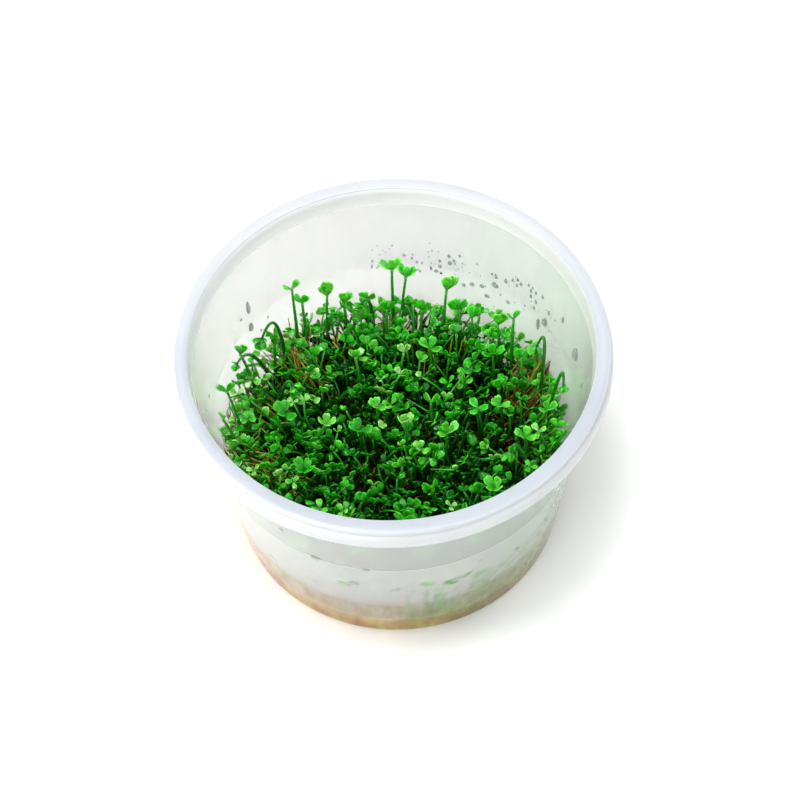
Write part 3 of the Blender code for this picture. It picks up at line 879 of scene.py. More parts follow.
# Tall fronds, in the same places as their solids, in millimetres: foot x, y; head x, y, z;
# kind of head; leaflet length; turn in degrees; tone of green
TALL_FRONDS = {
    "back_frond": (
        (-23.0, 29.0, -23.5, 33.1, 41.0, "wing", 2.3, 10, 0.85),
        (-21.0, 30.4, -21.3, 32.2, 36.5, "wing", 2.6, -15, 0.7),
        (-15.9, 32.3, -15.2, 34.0, 36.5, "half_open", 3.3, -6, 0.8),
        (-10.9, 33.2, -11.3, 34.7, 32.5, "heart", 2.9, 0, 0.8),
        (-4.4, 33.8, -6.9, 35.4, 30.8, "cap", 2.0, 0, 0.5),
        (0.6, 34.4, 0.8, 38.9, 39.4, "spread", 3.1, 6, 0.75),
        (2.4, 34.0, 4.2, 37.2, 38.6, "spread", 3.0, -12, 0.7),
        (-1.5, 29.9, -0.8, 33.2, 31.2, "crown", 2.3, 0, 0.6),
        (7.2, 30.6, 7.7, 32.9, 30.6, "crown", 2.4, 0, 0.65),
        (12.7, 31.2, 13.9, 34.1, 36.5, "heart", 3.6, 4, 0.85),
        (17.4, 27.8, 16.4, 31.0, 32.6, "crown", 2.9, 0, 0.6),
        (19.6, 25.8, 19.8, 28.6, 32.0, "heart", 2.8, 12, 0.65),
        (26.4, 23.1, 25.8, 24.7, 34.0, "heart", 3.2, -6, 0.8),
        (28.9, 19.9, 29.5, 23.7, 37.5, "wing", 2.2, 12, 0.75),
    ),
    "right_frond": (
        (35.3, 11.0, 34.8, 18.0, 33.8, "bunch", 2.9, 30, 0.62),
        (31.2, 11.4, 30.9, 16.3, 32.0, "crown", 2.3, 0, 0.65),
        (36.6, 3.6, 40.0, 4.6, 36.0, "bunch", 1.9, 80, 0.7),
        (36.5, -6.2, 39.8, -6.3, 33.0, "heart", 2.2, 50, 0.75),
        (35.0, 0.6, 36.0, 1.6, 30.5, "loose_cross", 2.5, 10, 0.75),
        (30.8, -5.7, 30.4, -5.2, 29.6, "cross", 2.7, 25, 0.75),
        (26.0, 5.2, 25.1, 4.5, 29.2, "cross", 2.4, 50, 0.8),
        (36.5, -5.2, 33.5, -4.3, 30.5, "cap", 2.0, 0, 0.9),
        (30.7, -10.0, 26.8, -9.1, 29.4, "umbrella", 2.7, 60, 0.6),
    ),
    "left_frond": (
        (-33.4, 15.9, -36.3, 17.7, 36.5, "heart", 2.6, -10, 0.75),
        (-30.4, 19.7, -37.2, 16.0, 34.9, "bunch", 1.8, 40, 0.6),
        (-26.2, 24.3, -31.2, 23.9, 34.2, "bunch", 2.8, 0, 0.5),
        (-36.8, 4.0, -39.3, 6.5, 37.0, "fan", 2.5, 15, 0.75),
        (-37.0, -1.6, -40.3, -0.4, 35.5, "half_open", 1.9, -50, 0.7),
        (-28.8, 21.6, -28.6, 24.8, 30.4, "folded", 2.4, 100, 0.4),
        (-25.6, 6.3, -26.2, 4.9, 29.4, "cross", 3.2, 20, 0.5),
        (-26.2, -5.2, -27.4, -4.3, 29.2, "pair", 2.4, 70, 0.65),
        (-27.5, 12.9, -24.2, 12.6, 29.6, "cap", 1.8, -30, 0.7),
    ),
    "middle_frond": (
        (-7.8, 17.2, -9.1, 20.7, 29.0, "heart", 1.8, 0, 0.75),
        (1.6, 19.7, 2.8, 20.9, 29.5, "heart", 2.2, 10, 1.0),
        (9.5, 20.4, 9.2, 22.0, 29.5, "cross", 3.0, 15, 0.75),
        (17.2, 13.4, 17.0, 12.7, 29.4, "crown", 2.4, 80, 0.8),
        (24.5, 16.9, 24.3, 19.1, 29.4, "loose_cross", 3.0, 0, 0.6),
        (25.5, 10.0, 24.9, 9.2, 29.6, "crown", 2.4, 0, 0.65),
        (-4.1, 4.9, -4.2, 5.7, 29.0, "cross", 2.4, 30, 0.8),
        (-20.4, -0.3, -16.5, 1.2, 29.4, "cross", 2.6, 65, 0.9),
        (2.7, -1.0, 2.3, 0.2, 29.4, "umbrella", 2.8, 0, 0.95),
        (-8.4, -1.0, -8.5, -0.7, 29.0, "cross", 3.0, 50, 0.45),
        (11.9, -3.8, 12.1, -2.9, 29.4, "loose_cross", 3.0, 20, 0.85),
        (8.8, 5.0, 8.7, 6.3, 28.8, "pair", 2.6, 0, 0.75),
        (21.0, 2.6, 19.6, 4.1, 29.0, "cap", 2.5, 0, 0.65),
        (-22.0, -11.6, -21.8, -11.5, 29.4, "cross", 3.1, 10, 0.5),
        (0.8, -12.0, 1.1, -11.5, 28.8, "crown", 2.4, 35, 0.85),
    ),
    "front_frond": (
        (-28.9, -21.5, -30.4, -22.8, 31.0, "trefoil", 2.5, 0, 0.6),
        (-21.0, -29.6, -22.5, -30.9, 30.0, "trefoil", 2.7, 45, 0.6),
        (-9.9, -32.1, -10.2, -34.3, 31.0, "trefoil", 2.5, 90, 0.65),
        (0.6, -25.6, 1.0, -26.6, 28.8, "fan", 2.8, 0, 0.7),
        (5.1, -34.5, 5.2, -36.6, 30.0, "pair", 2.7, 0, 0.75),
        (8.4, -18.0, 8.0, -18.3, 28.8, "pair", 2.5, 30, 0.65),
        (15.5, -29.7, 16.6, -31.5, 31.0, "trefoil", 2.7, 0, 0.7),
        (22.5, -19.1, 22.2, -18.9, 29.4, "cross", 3.0, 10, 0.8),
        (27.1, -24.0, 28.9, -25.5, 32.0, "trefoil", 2.5, 0, 0.7),
    ),
}

# Petioles that arch over before they reach their head: the pull in x, y, z, in millimetres
ARCHED = {
    "back_frond_5": (-0.1, -0.4, 5.8),
    "right_frond_1": (1.2, 3.8, 7.7),
    "right_frond_3": (1.8, 1.6, 7.9),
    "right_frond_9": (-1.5, 1.1, 4.1),
    "left_frond_2": (-1.6, -1.4, 6.1),
    "left_frond_3": (-0.4, 1.3, 7.4),
    "left_frond_9": (1.2, -0.4, 4.0),
}


def make_tall_fronds(finish):
    blade = leaflet("fine_leaflet", 24, 8, 0.6, 0.05, 0.09)
    heads = head_kinds(blade)
    for side, rows in TALL_FRONDS.items():
        for number, (x, y, *top, kind, length, turn, tone) in enumerate(rows, 1):
            name = f"{side}_{number}"
            foot = Vector((x, y, 0)) * MM
            foot.z = mat_height(foot.x, foot.y) - 0.8 * MM
            top = Vector(top) * MM
            bow = Vector(ARCHED.get(name, (0, 0, 0))) * MM
            if bow.z:
                low = foot + Vector((0, 0, 10.4 * MM))
                path = [(foot, 1.3), (foot.lerp(low, 0.5), 1.3)] + petiole_path(low, top, bow, 14)
            else:
                path = petiole_path(foot, top, bow, 16)
            stalk = stalks(name + "_petiole", [path], TALL_PETIOLE, [tone - 0.3], 2)
            place = head_place(path, length * 1.18, turn, 0, 0, 0.95 if bow.z else 0.5)
            leaves = copied(heads[kind][number % 3], place, tone - 0.06)
            frond = pressed(joined(name + "_fine", [stalk, leaves]))
            done(frond, finish, "frond_green", name)
    put_away(blade, heads)


# Short fronds that stand out of the crowd, placed one by one in millimetres: head x, y, z;
# kind of head; leaflet length; tone of green
PLACED_FRONDS = (
    (-21.0, 31.8, 31.0, "pair", 1.8, 0.6), (-13.6, 33.0, 30.0, "loose_cross", 2.6, 0.5),
    (-12.3, 32.6, 28.0, "umbrella", 2.0, 0.3), (-9.6, 30.0, 27.5, "crown", 2.2, 0.45),
    (-4.6, 33.3, 28.5, "fan", 2.2, 0.45), (-4.0, 29.2, 27.0, "crown", 2.2, 0.4),
    (3.4, 35.5, 29.5, "fan", 2.0, 0.6), (5.6, 35.7, 29.5, "heart", 1.9, 0.65),
    (11.4, 33.7, 28.0, "pair", 1.7, 0.6), (2.7, 31.2, 27.5, "crown", 2.0, 0.5),
    (10.0, 30.4, 27.5, "cross", 2.2, 0.45), (15.2, 30.7, 28.0, "crown", 2.2, 0.5),
    (15.8, 27.7, 27.5, "heart", 2.4, 0.4), (24.0, 25.1, 29.5, "loose_cross", 2.9, 0.6),
    (27.3, 23.7, 29.5, "cross", 2.5, 0.55), (25.0, 21.7, 27.5, "pair", 2.2, 0.6),
    (21.4, 22.5, 27.5, "spread", 2.8, 0.5), (19.0, 24.2, 27.0, "fan", 2.2, 0.4),
    (-24.1, 27.5, 28.0, "cap", 2.6, 0.5), (-27.6, 26.1, 28.0, "folded", 2.2, 0.35),
    (-22.4, 25.2, 28.0, "umbrella", 2.4, 0.5), (-25.9, 24.3, 27.5, "crown", 2.0, 0.45),
    (-33.9, 18.6, 31.0, "cap", 2.0, 0.45), (-35.7, 15.3, 30.0, "crown", 2.4, 0.55),
    (-31.8, 12.3, 28.0, "fan", 2.2, 0.4), (-35.0, 9.8, 29.0, "cap", 1.8, 0.5),
    (-35.2, 5.0, 27.5, "cap", 2.2, 0.6), (-32.3, 2.6, 27.0, "fan", 2.4, 0.3),
    (-36.3, -2.2, 28.0, "pair", 2.0, 0.6), (-40.7, -1.7, 31.5, "pair", 1.9, 0.65),
    (-33.8, -9.3, 27.0, "cap", 2.0, 0.85), (-17.3, 11.6, 27.5, "half_open", 2.2, 0.6),
    (-15.9, 13.0, 27.5, "heart", 1.5, 1), (-21.7, 9.8, 27.0, "pair", 1.9, 0.9),
    (-24.4, 9.7, 27.0, "cap", 1.7, 0.95), (-20.2, 18.3, 27.0, "crown", 2.4, 0.4),
    (-18.3, 15.8, 27.0, "cross", 2.3, 0.45), (-21.8, 22.0, 27.0, "heart", 2.0, 0.45),
    (-16.4, 24.3, 27.5, "crown", 2.3, 0.45), (-13.2, 23.3, 27.0, "folded", 2.0, 0.35),
    (-5.2, 24.5, 26.8, "pair", 1.5, 0.75), (-3.0, 15.6, 26.5, "cap", 1.4, 0.95),
    (-1.1, 7.8, 27.0, "cap", 2.2, 0.75), (-13.8, 0.7, 26.5, "trefoil", 1.8, 0.8),
    (-18.1, -1.0, 26.0, "umbrella", 2.4, 0.45), (-19.3, -3.5, 26.0, "heart", 2.0, 0.8),
    (-20.3, -6.0, 26.0, "crown", 2.2, 0.6), (-24.6, -12.8, 26.5, "cap", 1.9, 0.7),
    (-22.3, -13.7, 26.0, "fan", 1.8, 0.55), (-12.5, -14.8, 26.0, "crown", 2.2, 0.6),
    (-5.9, -15.0, 26.5, "pair", 2.1, 0.8), (-5.6, -19.1, 26.0, "pair", 1.8, 0.35),
    (-13.1, -21.1, 26.0, "cap", 2.0, 0.85), (-18.4, -20.7, 27.0, "cap", 2.4, 0.8),
    (-0.3, -22.1, 26.0, "fan", 2.0, 0.55), (-6.9, 0.4, 26.5, "crown", 2.2, 0.4),
    (-12.2, -3.0, 25.5, "umbrella", 2.4, 0.35), (-10.4, -5.4, 25.5, "loose_cross", 2.2, 0.35),
    (-13.6, -9.1, 25.0, "crown", 2.4, 0.3), (-7.7, -9.7, 25.5, "crown", 2.2, 0.35),
    (-17.1, -10.6, 25.5, "fan", 2.2, 0.4), (-16.5, -16.8, 25.5, "crown", 2.2, 0.4),
    (3.0, 26.0, 27.5, "loose_cross", 2.4, 0.55), (6.6, 19.7, 27.5, "cross", 2.7, 0.7),
    (6.9, 15.4, 26.8, "spread", 1.9, 0.9), (1.6, 16.2, 27.0, "pair", 2.2, 0.95),
    (4.2, 12.8, 27.0, "cap", 2.6, 0.55), (1.1, 8.8, 27.0, "crown", 2.2, 0.55),
    (12.6, 8.8, 27.0, "crown", 2.1, 0.85), (14.5, 6.9, 27.0, "trefoil", 2.0, 0.6),
    (15.3, 3.7, 26.5, "crown", 2.4, 0.5), (19.1, 16.3, 27.5, "cap", 2.6, 0.5),
    (13.7, 19.9, 28.0, "fan", 2.6, 0.35), (1.6, -3.8, 26.5, "spread", 1.8, 0.75),
    (5.8, -5.3, 27.0, "cross", 2.4, 0.8), (9.4, -8.6, 27.0, "loose_cross", 2.4, 0.6),
    (13.9, -12.2, 27.0, "heart", 2.2, 0.75), (17.1, -2.2, 27.5, "umbrella", 3.2, 0.4),
    (20.9, -5.5, 26.5, "spread", 1.9, 0.9), (22.8, -9.0, 26.5, "half_open", 2.2, 0.9),
    (23.8, -1.0, 26.0, "fan", 2.0, 0.45), (27.2, 3.9, 26.5, "trefoil", 2.2, 0.6),
    (21.3, 0.3, 26.0, "heart", 2.2, 0.35), (7.4, -17.1, 26.5, "spread", 2.6, 0.6),
    (9.9, -16.9, 26.0, "pair", 2.4, 0.5), (12.1, -21.4, 26.5, "cap", 1.8, 0.9),
    (7.2, -21.7, 26.5, "fan", 2.4, 0.6), (15.3, -17.5, 26.0, "pair", 2.0, 0.3),
    (26.2, -15.0, 26.5, "fan", 2.2, 0.55), (31.1, -12.0, 27.0, "cap", 2.0, 0.7),
    (36.9, -6.8, 28.0, "half_open", 2.0, 0.5), (36.0, -0.5, 28.0, "wing", 2.0, 0.55),
    (33.7, 0.9, 27.5, "crown", 2.4, 0.45), (30.0, 6.5, 28.0, "fan", 2.4, 0.45),
    (29.1, 11.0, 28.0, "crown", 2.4, 0.45), (32.5, 17.3, 28.0, "pair", 2.0, 0.6),
    (37.2, 10.2, 28.0, "umbrella", 2.4, 0.4), (22.0, 8.8, 27.0, "crown", 2.0, 0.45),
    (23.3, -12.7, 26.5, "crown", 2.2, 0.5), (19.4, -12.1, 26.0, "umbrella", 2.4, 0.35),
    (17.3, -7.2, 26.0, "fan", 2.2, 0.3),
)

# Straight pale petioles that lie across the crowd, from end to end in millimetres
PALE_PETIOLES = (
    ((3.0, 8.7, 27.5), (7.7, 6.3, 25.5)),
    ((19.4, 18.0, 28.0), (12.9, 9.7, 26.5)),
    ((7.6, -11.0, 26.5), (13.5, -11.9, 27.0)),
    ((19.6, -8.5, 26.0), (22.1, -8.7, 26.5)),
)


def spread(tries, nearest, reach):
    """Points over a round plan at random, none closer to another than nearest."""
    spots = []
    for _ in range(tries):
        angle = chance.uniform(0, math.tau)
        spot = on_plan(reach * math.sqrt(chance.random()), angle, 0)
        if all((spot - other).length > nearest for other in spots):
            spots.append(spot)
    return spots


def crowd(name, heads, fronds, finish):
    """One piece of many short fronds. A frond is its path, head size, tone and head kind."""
    leaves = []
    for path, size, tone, kind in fronds:
        tilt, side = abs(chance.gauss(0, 22)), chance.uniform(-180, 180)
        hung = path[-2][0].z > path[-1][0].z
        place = head_place(
            path, size, chance.uniform(-40, 40), min(tilt, 50), side, 0.95 if hung else 0.6
        )
        leaves.append(copied(heads[kind][chance.randrange(3)], place, tone))
    paths, _, tones, _ = zip(*fronds)
    stems = stalks(name + "_petioles", paths, SHORT_PETIOLE, tones, 0)
    done(pressed(joined(name, [stems, *leaves])), finish, "low_green", "low_fronds")


def growth_height(x, y):
    """Top of the low growth: level in the middle, lower by the front of the wall, higher by
    its sides and back, as its solid is."""
    middle, front, rise = 24.2, 21.0, 5.8
    outward = clamp((math.hypot(x, y) / GROWTH_RADIUS - 0.72) / 0.28)
    edge = front + rise * clamp((y / GROWTH_RADIUS + 0.55) / 0.7)
    return (middle + (edge - middle) * outward**1.5) * MM


def brighter(spot):
    """The fronds by the back and the left of the wall get more light, so they are paler."""
    side, back = spot.x / (30 * MM), spot.y / (30 * MM)
    return 0.13 * clamp(back) + 0.18 * clamp(-side) + 0.04 * clamp(side) - 0.06 * clamp(-back)


def in_the_mat(spot):
    """The foot of a petiole in the root mat under a place."""
    foot = kept_inside(Vector((spot.x, spot.y, MAT_TOP)), 0.8 * MM)
    foot.z = mat_height(foot.x, foot.y) - 0.6 * MM
    return foot


def bent_over(foot, top, rise):
    """A petiole of the low growth that rises past its head and hangs it over."""
    crest = foot.lerp(top, 0.45)
    crest.z = top.z + rise
    return bend(foot, crest, top, SHORT_POINTS, 1.2, 0.4)


def short_petiole(kind, foot, top, bow, drop=1.5 * MM, rise=4.4 * MM):
    """An umbrella hangs from a petiole that is bent over; under any other head it stands."""
    if kind == "umbrella":
        return bent_over(foot, top - Vector((0, 0, drop)), rise)
    return petiole_path(foot, top, wobble(bow), SHORT_POINTS)


def make_placed_fronds(finish):
    blade = leaflet("medium_leaflet", 14, 5, 0.7, 0.03, 0.08)
    heads = head_kinds(blade)
    fronds = []
    for x, y, z, kind, size, tone in PLACED_FRONDS:
        top = kept_inside(Vector((x, y, z)) * MM, 1.2 * MM)
        foot = in_the_mat(top * 0.93 + wobble(2.4))
        path = short_petiole(kind, foot, top, 0.9, 0.0, 5 * MM)
        fronds.append((path, size * chance.uniform(0.92, 1.05), clamp(chance.gauss(tone, 0.05)), kind))
    crowd("short_fronds_placed", heads, fronds, finish)
    put_away(blade, heads)


def make_short_fronds(finish):
    """Tufts of short petioles that fan out of one place in the mat, each with its head."""
    small = leaflet("small_leaflet", 10, 4, 0.75, 0.0, 0.07)
    heads = head_kinds(small)
    common = ["heart"] * 4 + ["crown"] * 6 + ["fan"] * 4 + ["umbrella"] * 4 + ["pair"] * 2
    common += ["loose_cross", "cross", "folded", "wing", "half_open", "cap"]
    quarters = {"front_left": [], "front_right": [], "back_left": [], "back_right": []}
    for tuft in spread(9000, 4.2 * MM, 38.0 * MM):
        start = chance.uniform(0, 360)
        hollow = noise.noise(tuft / (8 * MM))
        # The tuft's own random tone, with painted shade in the hollows of the growth
        patch_and_hollow_shade = chance.gauss(0, 0.08) - 0.15 * hollow
        number = chance.randint(2, 4)
        for i in range(number):
            angle = math.radians(start + 360 * i / number + chance.gauss(0, 25))
            reach = chance.triangular(0.6, 6.0, 3.0) * MM
            top = tuft + Vector((math.cos(angle), math.sin(angle), 0)) * reach
            depth = (chance.triangular(0, 7.0, 1.5) + 3.0 * max(0.0, hollow)) * MM
            top.z = growth_height(top.x, top.y) + 1.6 * MM - depth
            kept_inside(top, 1.2 * MM)
            foot = in_the_mat(tuft + wobble(0.6))
            kind = chance.choice(common)
            path = short_petiole(kind, foot, top, 0.9)
            # The tone falls with depth below the top of the growth: painted shade
            tone = clamp(brighter(top) + 0.62 - 80 * depth + chance.gauss(0, 0.13) + patch_and_hollow_shade)
            quarter = ("back" if tuft.y > 0 else "front") + ("_right" if tuft.x > 0 else "_left")
            quarters[quarter].append((path, chance.uniform(1.9, 3.0), tone, kind))
    for quarter, fronds in quarters.items():
        crowd("short_fronds_" + quarter, heads, fronds, finish)
    # Fronds low under the crowd, given a dark tone of green as painted shade
    shaded = []
    for spot in spread(5000, 3.0 * MM, 38.5 * MM):
        top = kept_inside(Vector((spot.x, spot.y, chance.uniform(17, 20.5) * MM)), 1.0 * MM)
        foot = in_the_mat(spot + wobble(1))
        path = petiole_path(foot, top, Vector((0, 0, 0)), SHORT_POINTS)
        size, tone = chance.uniform(1.7, 2.6), clamp(chance.gauss(0.1, 0.08))
        shaded.append((path, size, tone, chance.choice(common)))
    crowd("short_fronds_in_the_shade", heads, shaded, finish)
    put_away(small, heads)


def make_wall_fronds(finish):
    """The ring of fronds that lean on the wall at the sides and the back."""
    blade = leaflet("wall_leaflet", 10, 4, 0.75, 0.0, 0.07)
    heads = head_kinds(blade)
    kinds = ["crown", "fan", "heart", "pair", "crown", "half_open", "umbrella", "cap", "loose_cross"]
    fronds = []
    number, first, turn = 150, -42, 264
    for i in range(number):
        angle = math.radians(first + turn * i / (number - 1) + chance.gauss(0, 1.2))
        sideways = abs(math.cos(angle))
        height = chance.triangular(20.5, 27.5 + 3.5 * sideways, 23.0 + 3.0 * sideways) * MM
        top = on_plan(inner_wall(height) - chance.triangular(1.0, 5.5, 1.6) * MM, angle, height)
        foot = in_the_mat(on_plan(chance.uniform(31, 37.5) * MM, angle + chance.gauss(0, 0.07), 0))
        kind = chance.choice(kinds)
        path = short_petiole(kind, foot, top, 0.8)
        tone = clamp(brighter(top) + chance.gauss(0.5, 0.14) + 0.05 * sideways)
        fronds.append((path, chance.uniform(2.0, 3.0), tone, kind))
    crowd("short_fronds_by_the_wall", heads, fronds, finish)
    put_away(blade, heads)


def make_wall_growth(finish):
    blade = leaflet("pressed_leaflet", 10, 4, 0.1, 0.0, 0.08)
    leaves = []
    for angle, height, length, lean, tone in ON_THE_WALL:
        place = on_plan(inner_wall(height * MM) - 0.3 * MM, math.radians(angle), height * MM)
        turn = spin(z=angle - 270) @ spin(x=90) @ spin(z=lean)
        flat = Matrix.Diagonal((length, length, 0.8, 1))
        tone = clamp(chance.gauss(tone, 0.07))
        leaves.append(copied(blade, Matrix.Translation(place) @ turn @ flat, tone))
    paths = []
    for angle, low, high, tone in WALL_PETIOLES:
        path = []
        for i in range(STEM_POINTS):
            height = (low + (high - low) * i / (STEM_POINTS - 1)) * MM
            sway = math.radians(angle + 0.9 * math.sin(i * 0.8 + angle))
            path.append((on_plan(inner_wall(height) - 0.32 * MM, sway, height), 1.0 - 0.03 * i))
        paths.append(path)
    tones = [row[3] for row in WALL_PETIOLES]
    stems = stalks("pressed_petioles", paths, PRESSED_PETIOLE, tones, 0)
    done(pressed(joined("fronds_pressed_on_the_wall", [stems, *leaves])), finish, "low_green")
    bpy.data.objects.remove(blade, do_unlink=True)


def curled(path):
    """A young petiole ends in a small curl, as a fern's does."""
    end, before = path[-1][0], path[-2][0]
    along = (end - before).normalized()
    side = along.cross(Vector((chance.uniform(-1, 1), chance.uniform(-1, 1), 0.1))).normalized()
    middle = end + side * 0.38 * MM
    curl = []
    for i in range(1, 6):
        turn = math.radians(55 * i)
        offset = along * math.sin(turn) - side * math.cos(turn)
        curl.append((middle + offset * 0.38 * MM * (1 - 0.09 * i), 0.95 - 0.03 * i))
    return path + curl


def make_young_fronds(finish):
    """Young fronds that have no leaflets yet fill the shade with stems, and a few pale
    petioles lie across the crowd."""
    paths, tones = [], []
    for spot in spread(6000, 2.15 * MM, 38.4 * MM):
        foot = in_the_mat(spot)
        lean = wobble(1.6)
        top = foot + lean + Vector((0, 0, chance.uniform(4.5, 10.0))) * MM
        bow = wobble(0.9)
        paths.append(curled(petiole_path(foot, kept_inside(top, 1.4 * MM), bow, 7)))
        tones.append(clamp(chance.gauss(0.45, 0.18)))
    stems = pressed(stalks("young_fronds", paths, YOUNG_PETIOLE, tones, 0))
    done(stems, finish, "low_green", "low_fronds")
    paths = []
    for low, high in PALE_PETIOLES:
        low, high = Vector(low) * MM, Vector(high) * MM
        paths.append([(low.lerp(high, i / 5), 0.8) for i in range(6)])
    pale = stalks("pale_petioles", paths, PALE_PETIOLE, [1.0] * len(paths), 1)
    done(pale, finish, "low_green", "low_fronds")


# Old stems, roots and drops


def thread(start, step, turns, floor, ceiling):
    """A thread that wanders from its start and stays inside the cup."""
    place, heading = start.copy(), step.copy()
    path = [(place.copy(), 1.0)]
    for i in range(STEM_POINTS - 1):
        heading += Vector([chance.gauss(0, turns) for _ in range(3)]) * step.length
        heading = heading.normalized() * step.length
        place += heading
        place.z = min(max(place.z, floor), ceiling)
        kept_inside(place, 0.3 * MM)
        path.append((place.copy(), 1.0 - 0.5 * i / STEM_POINTS))
    return path


def make_roots():
    by_the_wall, in_the_gel = 420, 70
    paths = []
    for _ in range(by_the_wall):
        angle = chance.uniform(0, math.tau)
        height = chance.uniform(8.4, 15.2) * MM
        start = on_plan(inner_wall(height) - chance.uniform(0.3, 0.9) * MM, angle, height)
        side = Vector((-math.sin(angle), math.cos(angle), chance.uniform(-0.6, 0.6)))
        step = side.normalized() * chance.uniform(0.9, 1.6) * MM * chance.choice((-1, 1))
        paths.append(thread(start, step, 0.35, 8.1 * MM, 15.8 * MM))
    side_roots = merged(drawn("roots_at_the_wall", paths, WALL_ROOT))
    done(side_roots, root_thread(), "root_brown")
    paths = []
    for _ in range(in_the_gel):
        start = on_plan(37 * MM * math.sqrt(chance.random()), chance.uniform(0, math.tau), 8.4 * MM)
        step = Vector((chance.gauss(0, 0.5), chance.gauss(0, 0.5), -1)).normalized() * 0.9 * MM
        paths.append(thread(start, step, 0.3, 2.2 * MM, 8.6 * MM))
    gel_roots = merged(drawn("roots_in_the_gel", paths, GEL_ROOT))
    done(gel_roots, root_thread(), "root_brown")


# Where old stems stand and lie, in millimetres: middle x, y; how wide; how many; how tall;
# tone from dark red-brown over orange and olive to straw
OLD_STEMS = (
    (-24.5, 27.0, 3.5, 34, 15.0, 1.0), (-22.0, 23.0, 3.0, 24, 12.0, 0.85), (-20.5, 20.5, 2.5, 14, 8.0, 0.5),
    (-36.5, 15.0, 3.0, 26, 12.0, 0.9), (-37.5, 6.5, 3.0, 34, 13.0, 0.85), (-38.5, 1.0, 2.5, 26, 12.0, 1.0),
    (-35.5, -6.0, 3.0, 34, 9.0, 0.95), (-33.5, -1.0, 2.5, 44, 7.0, 0.92), (-30.5, -5.0, 3.0, 44, 7.0, 0.97),
    (-31.0, 13.5, 1.6, 18, 9.0, 0.45), (-14.0, 24.0, 6.0, 12, 6.0, 0.4), (0.5, 35.0, 3.0, 14, 12.0, 0.55),
    (6.0, 30.0, 5.0, 16, 7.0, 0.5), (24.0, 3.0, 3.5, 14, 6.0, 0.15), (29.0, -2.0, 3.5, 20, 8.0, 0.35),
    (33.5, 22.0, 3.0, 20, 12.0, 0.75), (36.0, 17.0, 2.5, 30, 15.0, 0.5), (33.0, 14.0, 3.0, 22, 9.0, 0.75),
    (36.5, 12.0, 2.0, 24, 13.0, 0.45), (33.5, 9.5, 3.0, 20, 9.0, 0.4), (29.4, 8.8, 1.0, 26, 13.0, 0.2),
    (36.0, -6.0, 2.5, 18, 10.0, 0.5), (10.0, 6.0, 6.0, 14, 5.0, 0.3), (-2.0, -29.0, 9.0, 26, 4.0, 0.35),
    (14.0, -24.0, 7.0, 16, 4.0, 0.3), (-26.0, -9.5, 3.0, 34, 6.0, 0.93), (-20.0, -26.0, 6.0, 18, 5.0, 0.5),
    (-6.5, -7.0, 1.5, 8, 6.0, 0.4), (0.0, 0.0, 24.0, 60, 4.0, 0.3),
)

# Old petioles that have lost their leaves and still stand by the wall, yellow to olive:
# x, y and height of their tips, width of the group, in millimetres; how many; tone
STANDING_STEMS = (
    (-26.5, 29.0, 26, 3.0, 14, 1.0), (-23.5, 25.0, 24, 3.5, 16, 0.95), (-20.5, 21.5, 22, 3.0, 10, 0.9),
    (-29.5, 25.0, 25, 2.5, 10, 0.85), (-36.0, 15.5, 24, 2.5, 12, 0.85), (-33.0, 13.0, 23, 2.5, 10, 0.95),
    (-37.5, 7.0, 24, 2.5, 14, 0.9), (-38.5, 1.5, 23, 2.0, 12, 0.85), (-36.5, -5.5, 22, 2.5, 12, 0.95),
    (-33.5, -2.5, 22, 3.0, 12, 0.9), (-27.0, -8.0, 21, 3.0, 10, 0.95), (34.5, 22.5, 26, 2.0, 12, 0.9),
    (36.5, 17.5, 27, 2.0, 16, 0.8), (33.0, 15.0, 23, 2.5, 12, 0.9), (37.0, 12.5, 26, 2.0, 14, 0.75),
    (34.0, 10.0, 23, 2.5, 10, 0.85), (38.0, 4.0, 25, 1.5, 8, 0.85), (37.0, -4.0, 23, 2.0, 8, 0.8),
    (0.5, 36.0, 25, 3.0, 8, 0.85), (-12.0, 34.0, 24, 3.0, 8, 0.9), (20.0, 30.0, 24, 3.0, 8, 0.8),
    (10.0, 26.0, 22, 3.0, 6, 0.9), (-6.0, -30.0, 20, 6.0, 8, 0.9), (16.0, -20.0, 20, 4.0, 6, 0.95),
)


def scattered(x, y, width):
    """A random place round a point of the plan, all in millimetres."""
    return Vector((x + chance.gauss(0, 0.5) * width, y + chance.gauss(0, 0.5) * width, 0))


def make_old_stems():
    paths, tones = [], []
    for x, y, width, number, height, tone in OLD_STEMS:
        for _ in range(number):
            start = in_the_mat(scattered(x, y, width) * MM) + Vector((0, 0, 0.6 * MM))
            step = Vector((chance.gauss(-0.15, 0.3), chance.gauss(0.05, 0.3), chance.uniform(0.5, 1.8)))
            step = step.normalized() * height * chance.uniform(0.5, 1.0) * MM / (STEM_POINTS - 1)
            paths.append(thread(start, step, 1.8 / height, 15.0 * MM, 30 * MM))
            tones.append(clamp(chance.gauss(tone, 0.12)))
    for x, y, high, width, number, tone in STANDING_STEMS:
        for _ in range(number):
            spot = scattered(x, y, width)
            spot.z = high + chance.gauss(0, 1.5)
            top = kept_inside(spot * MM, 0.8 * MM)
            foot = in_the_mat(top * 0.88 + wobble(1.2))
            paths.append(petiole_path(foot, top, wobble(0.6), STEM_POINTS))
            tones.append(clamp(chance.gauss(tone, 0.06)))
    stems = pressed(stalks("old_stems", paths, OLD_STEM, tones, 0))
    done(stems, old_stem(), "root_brown")


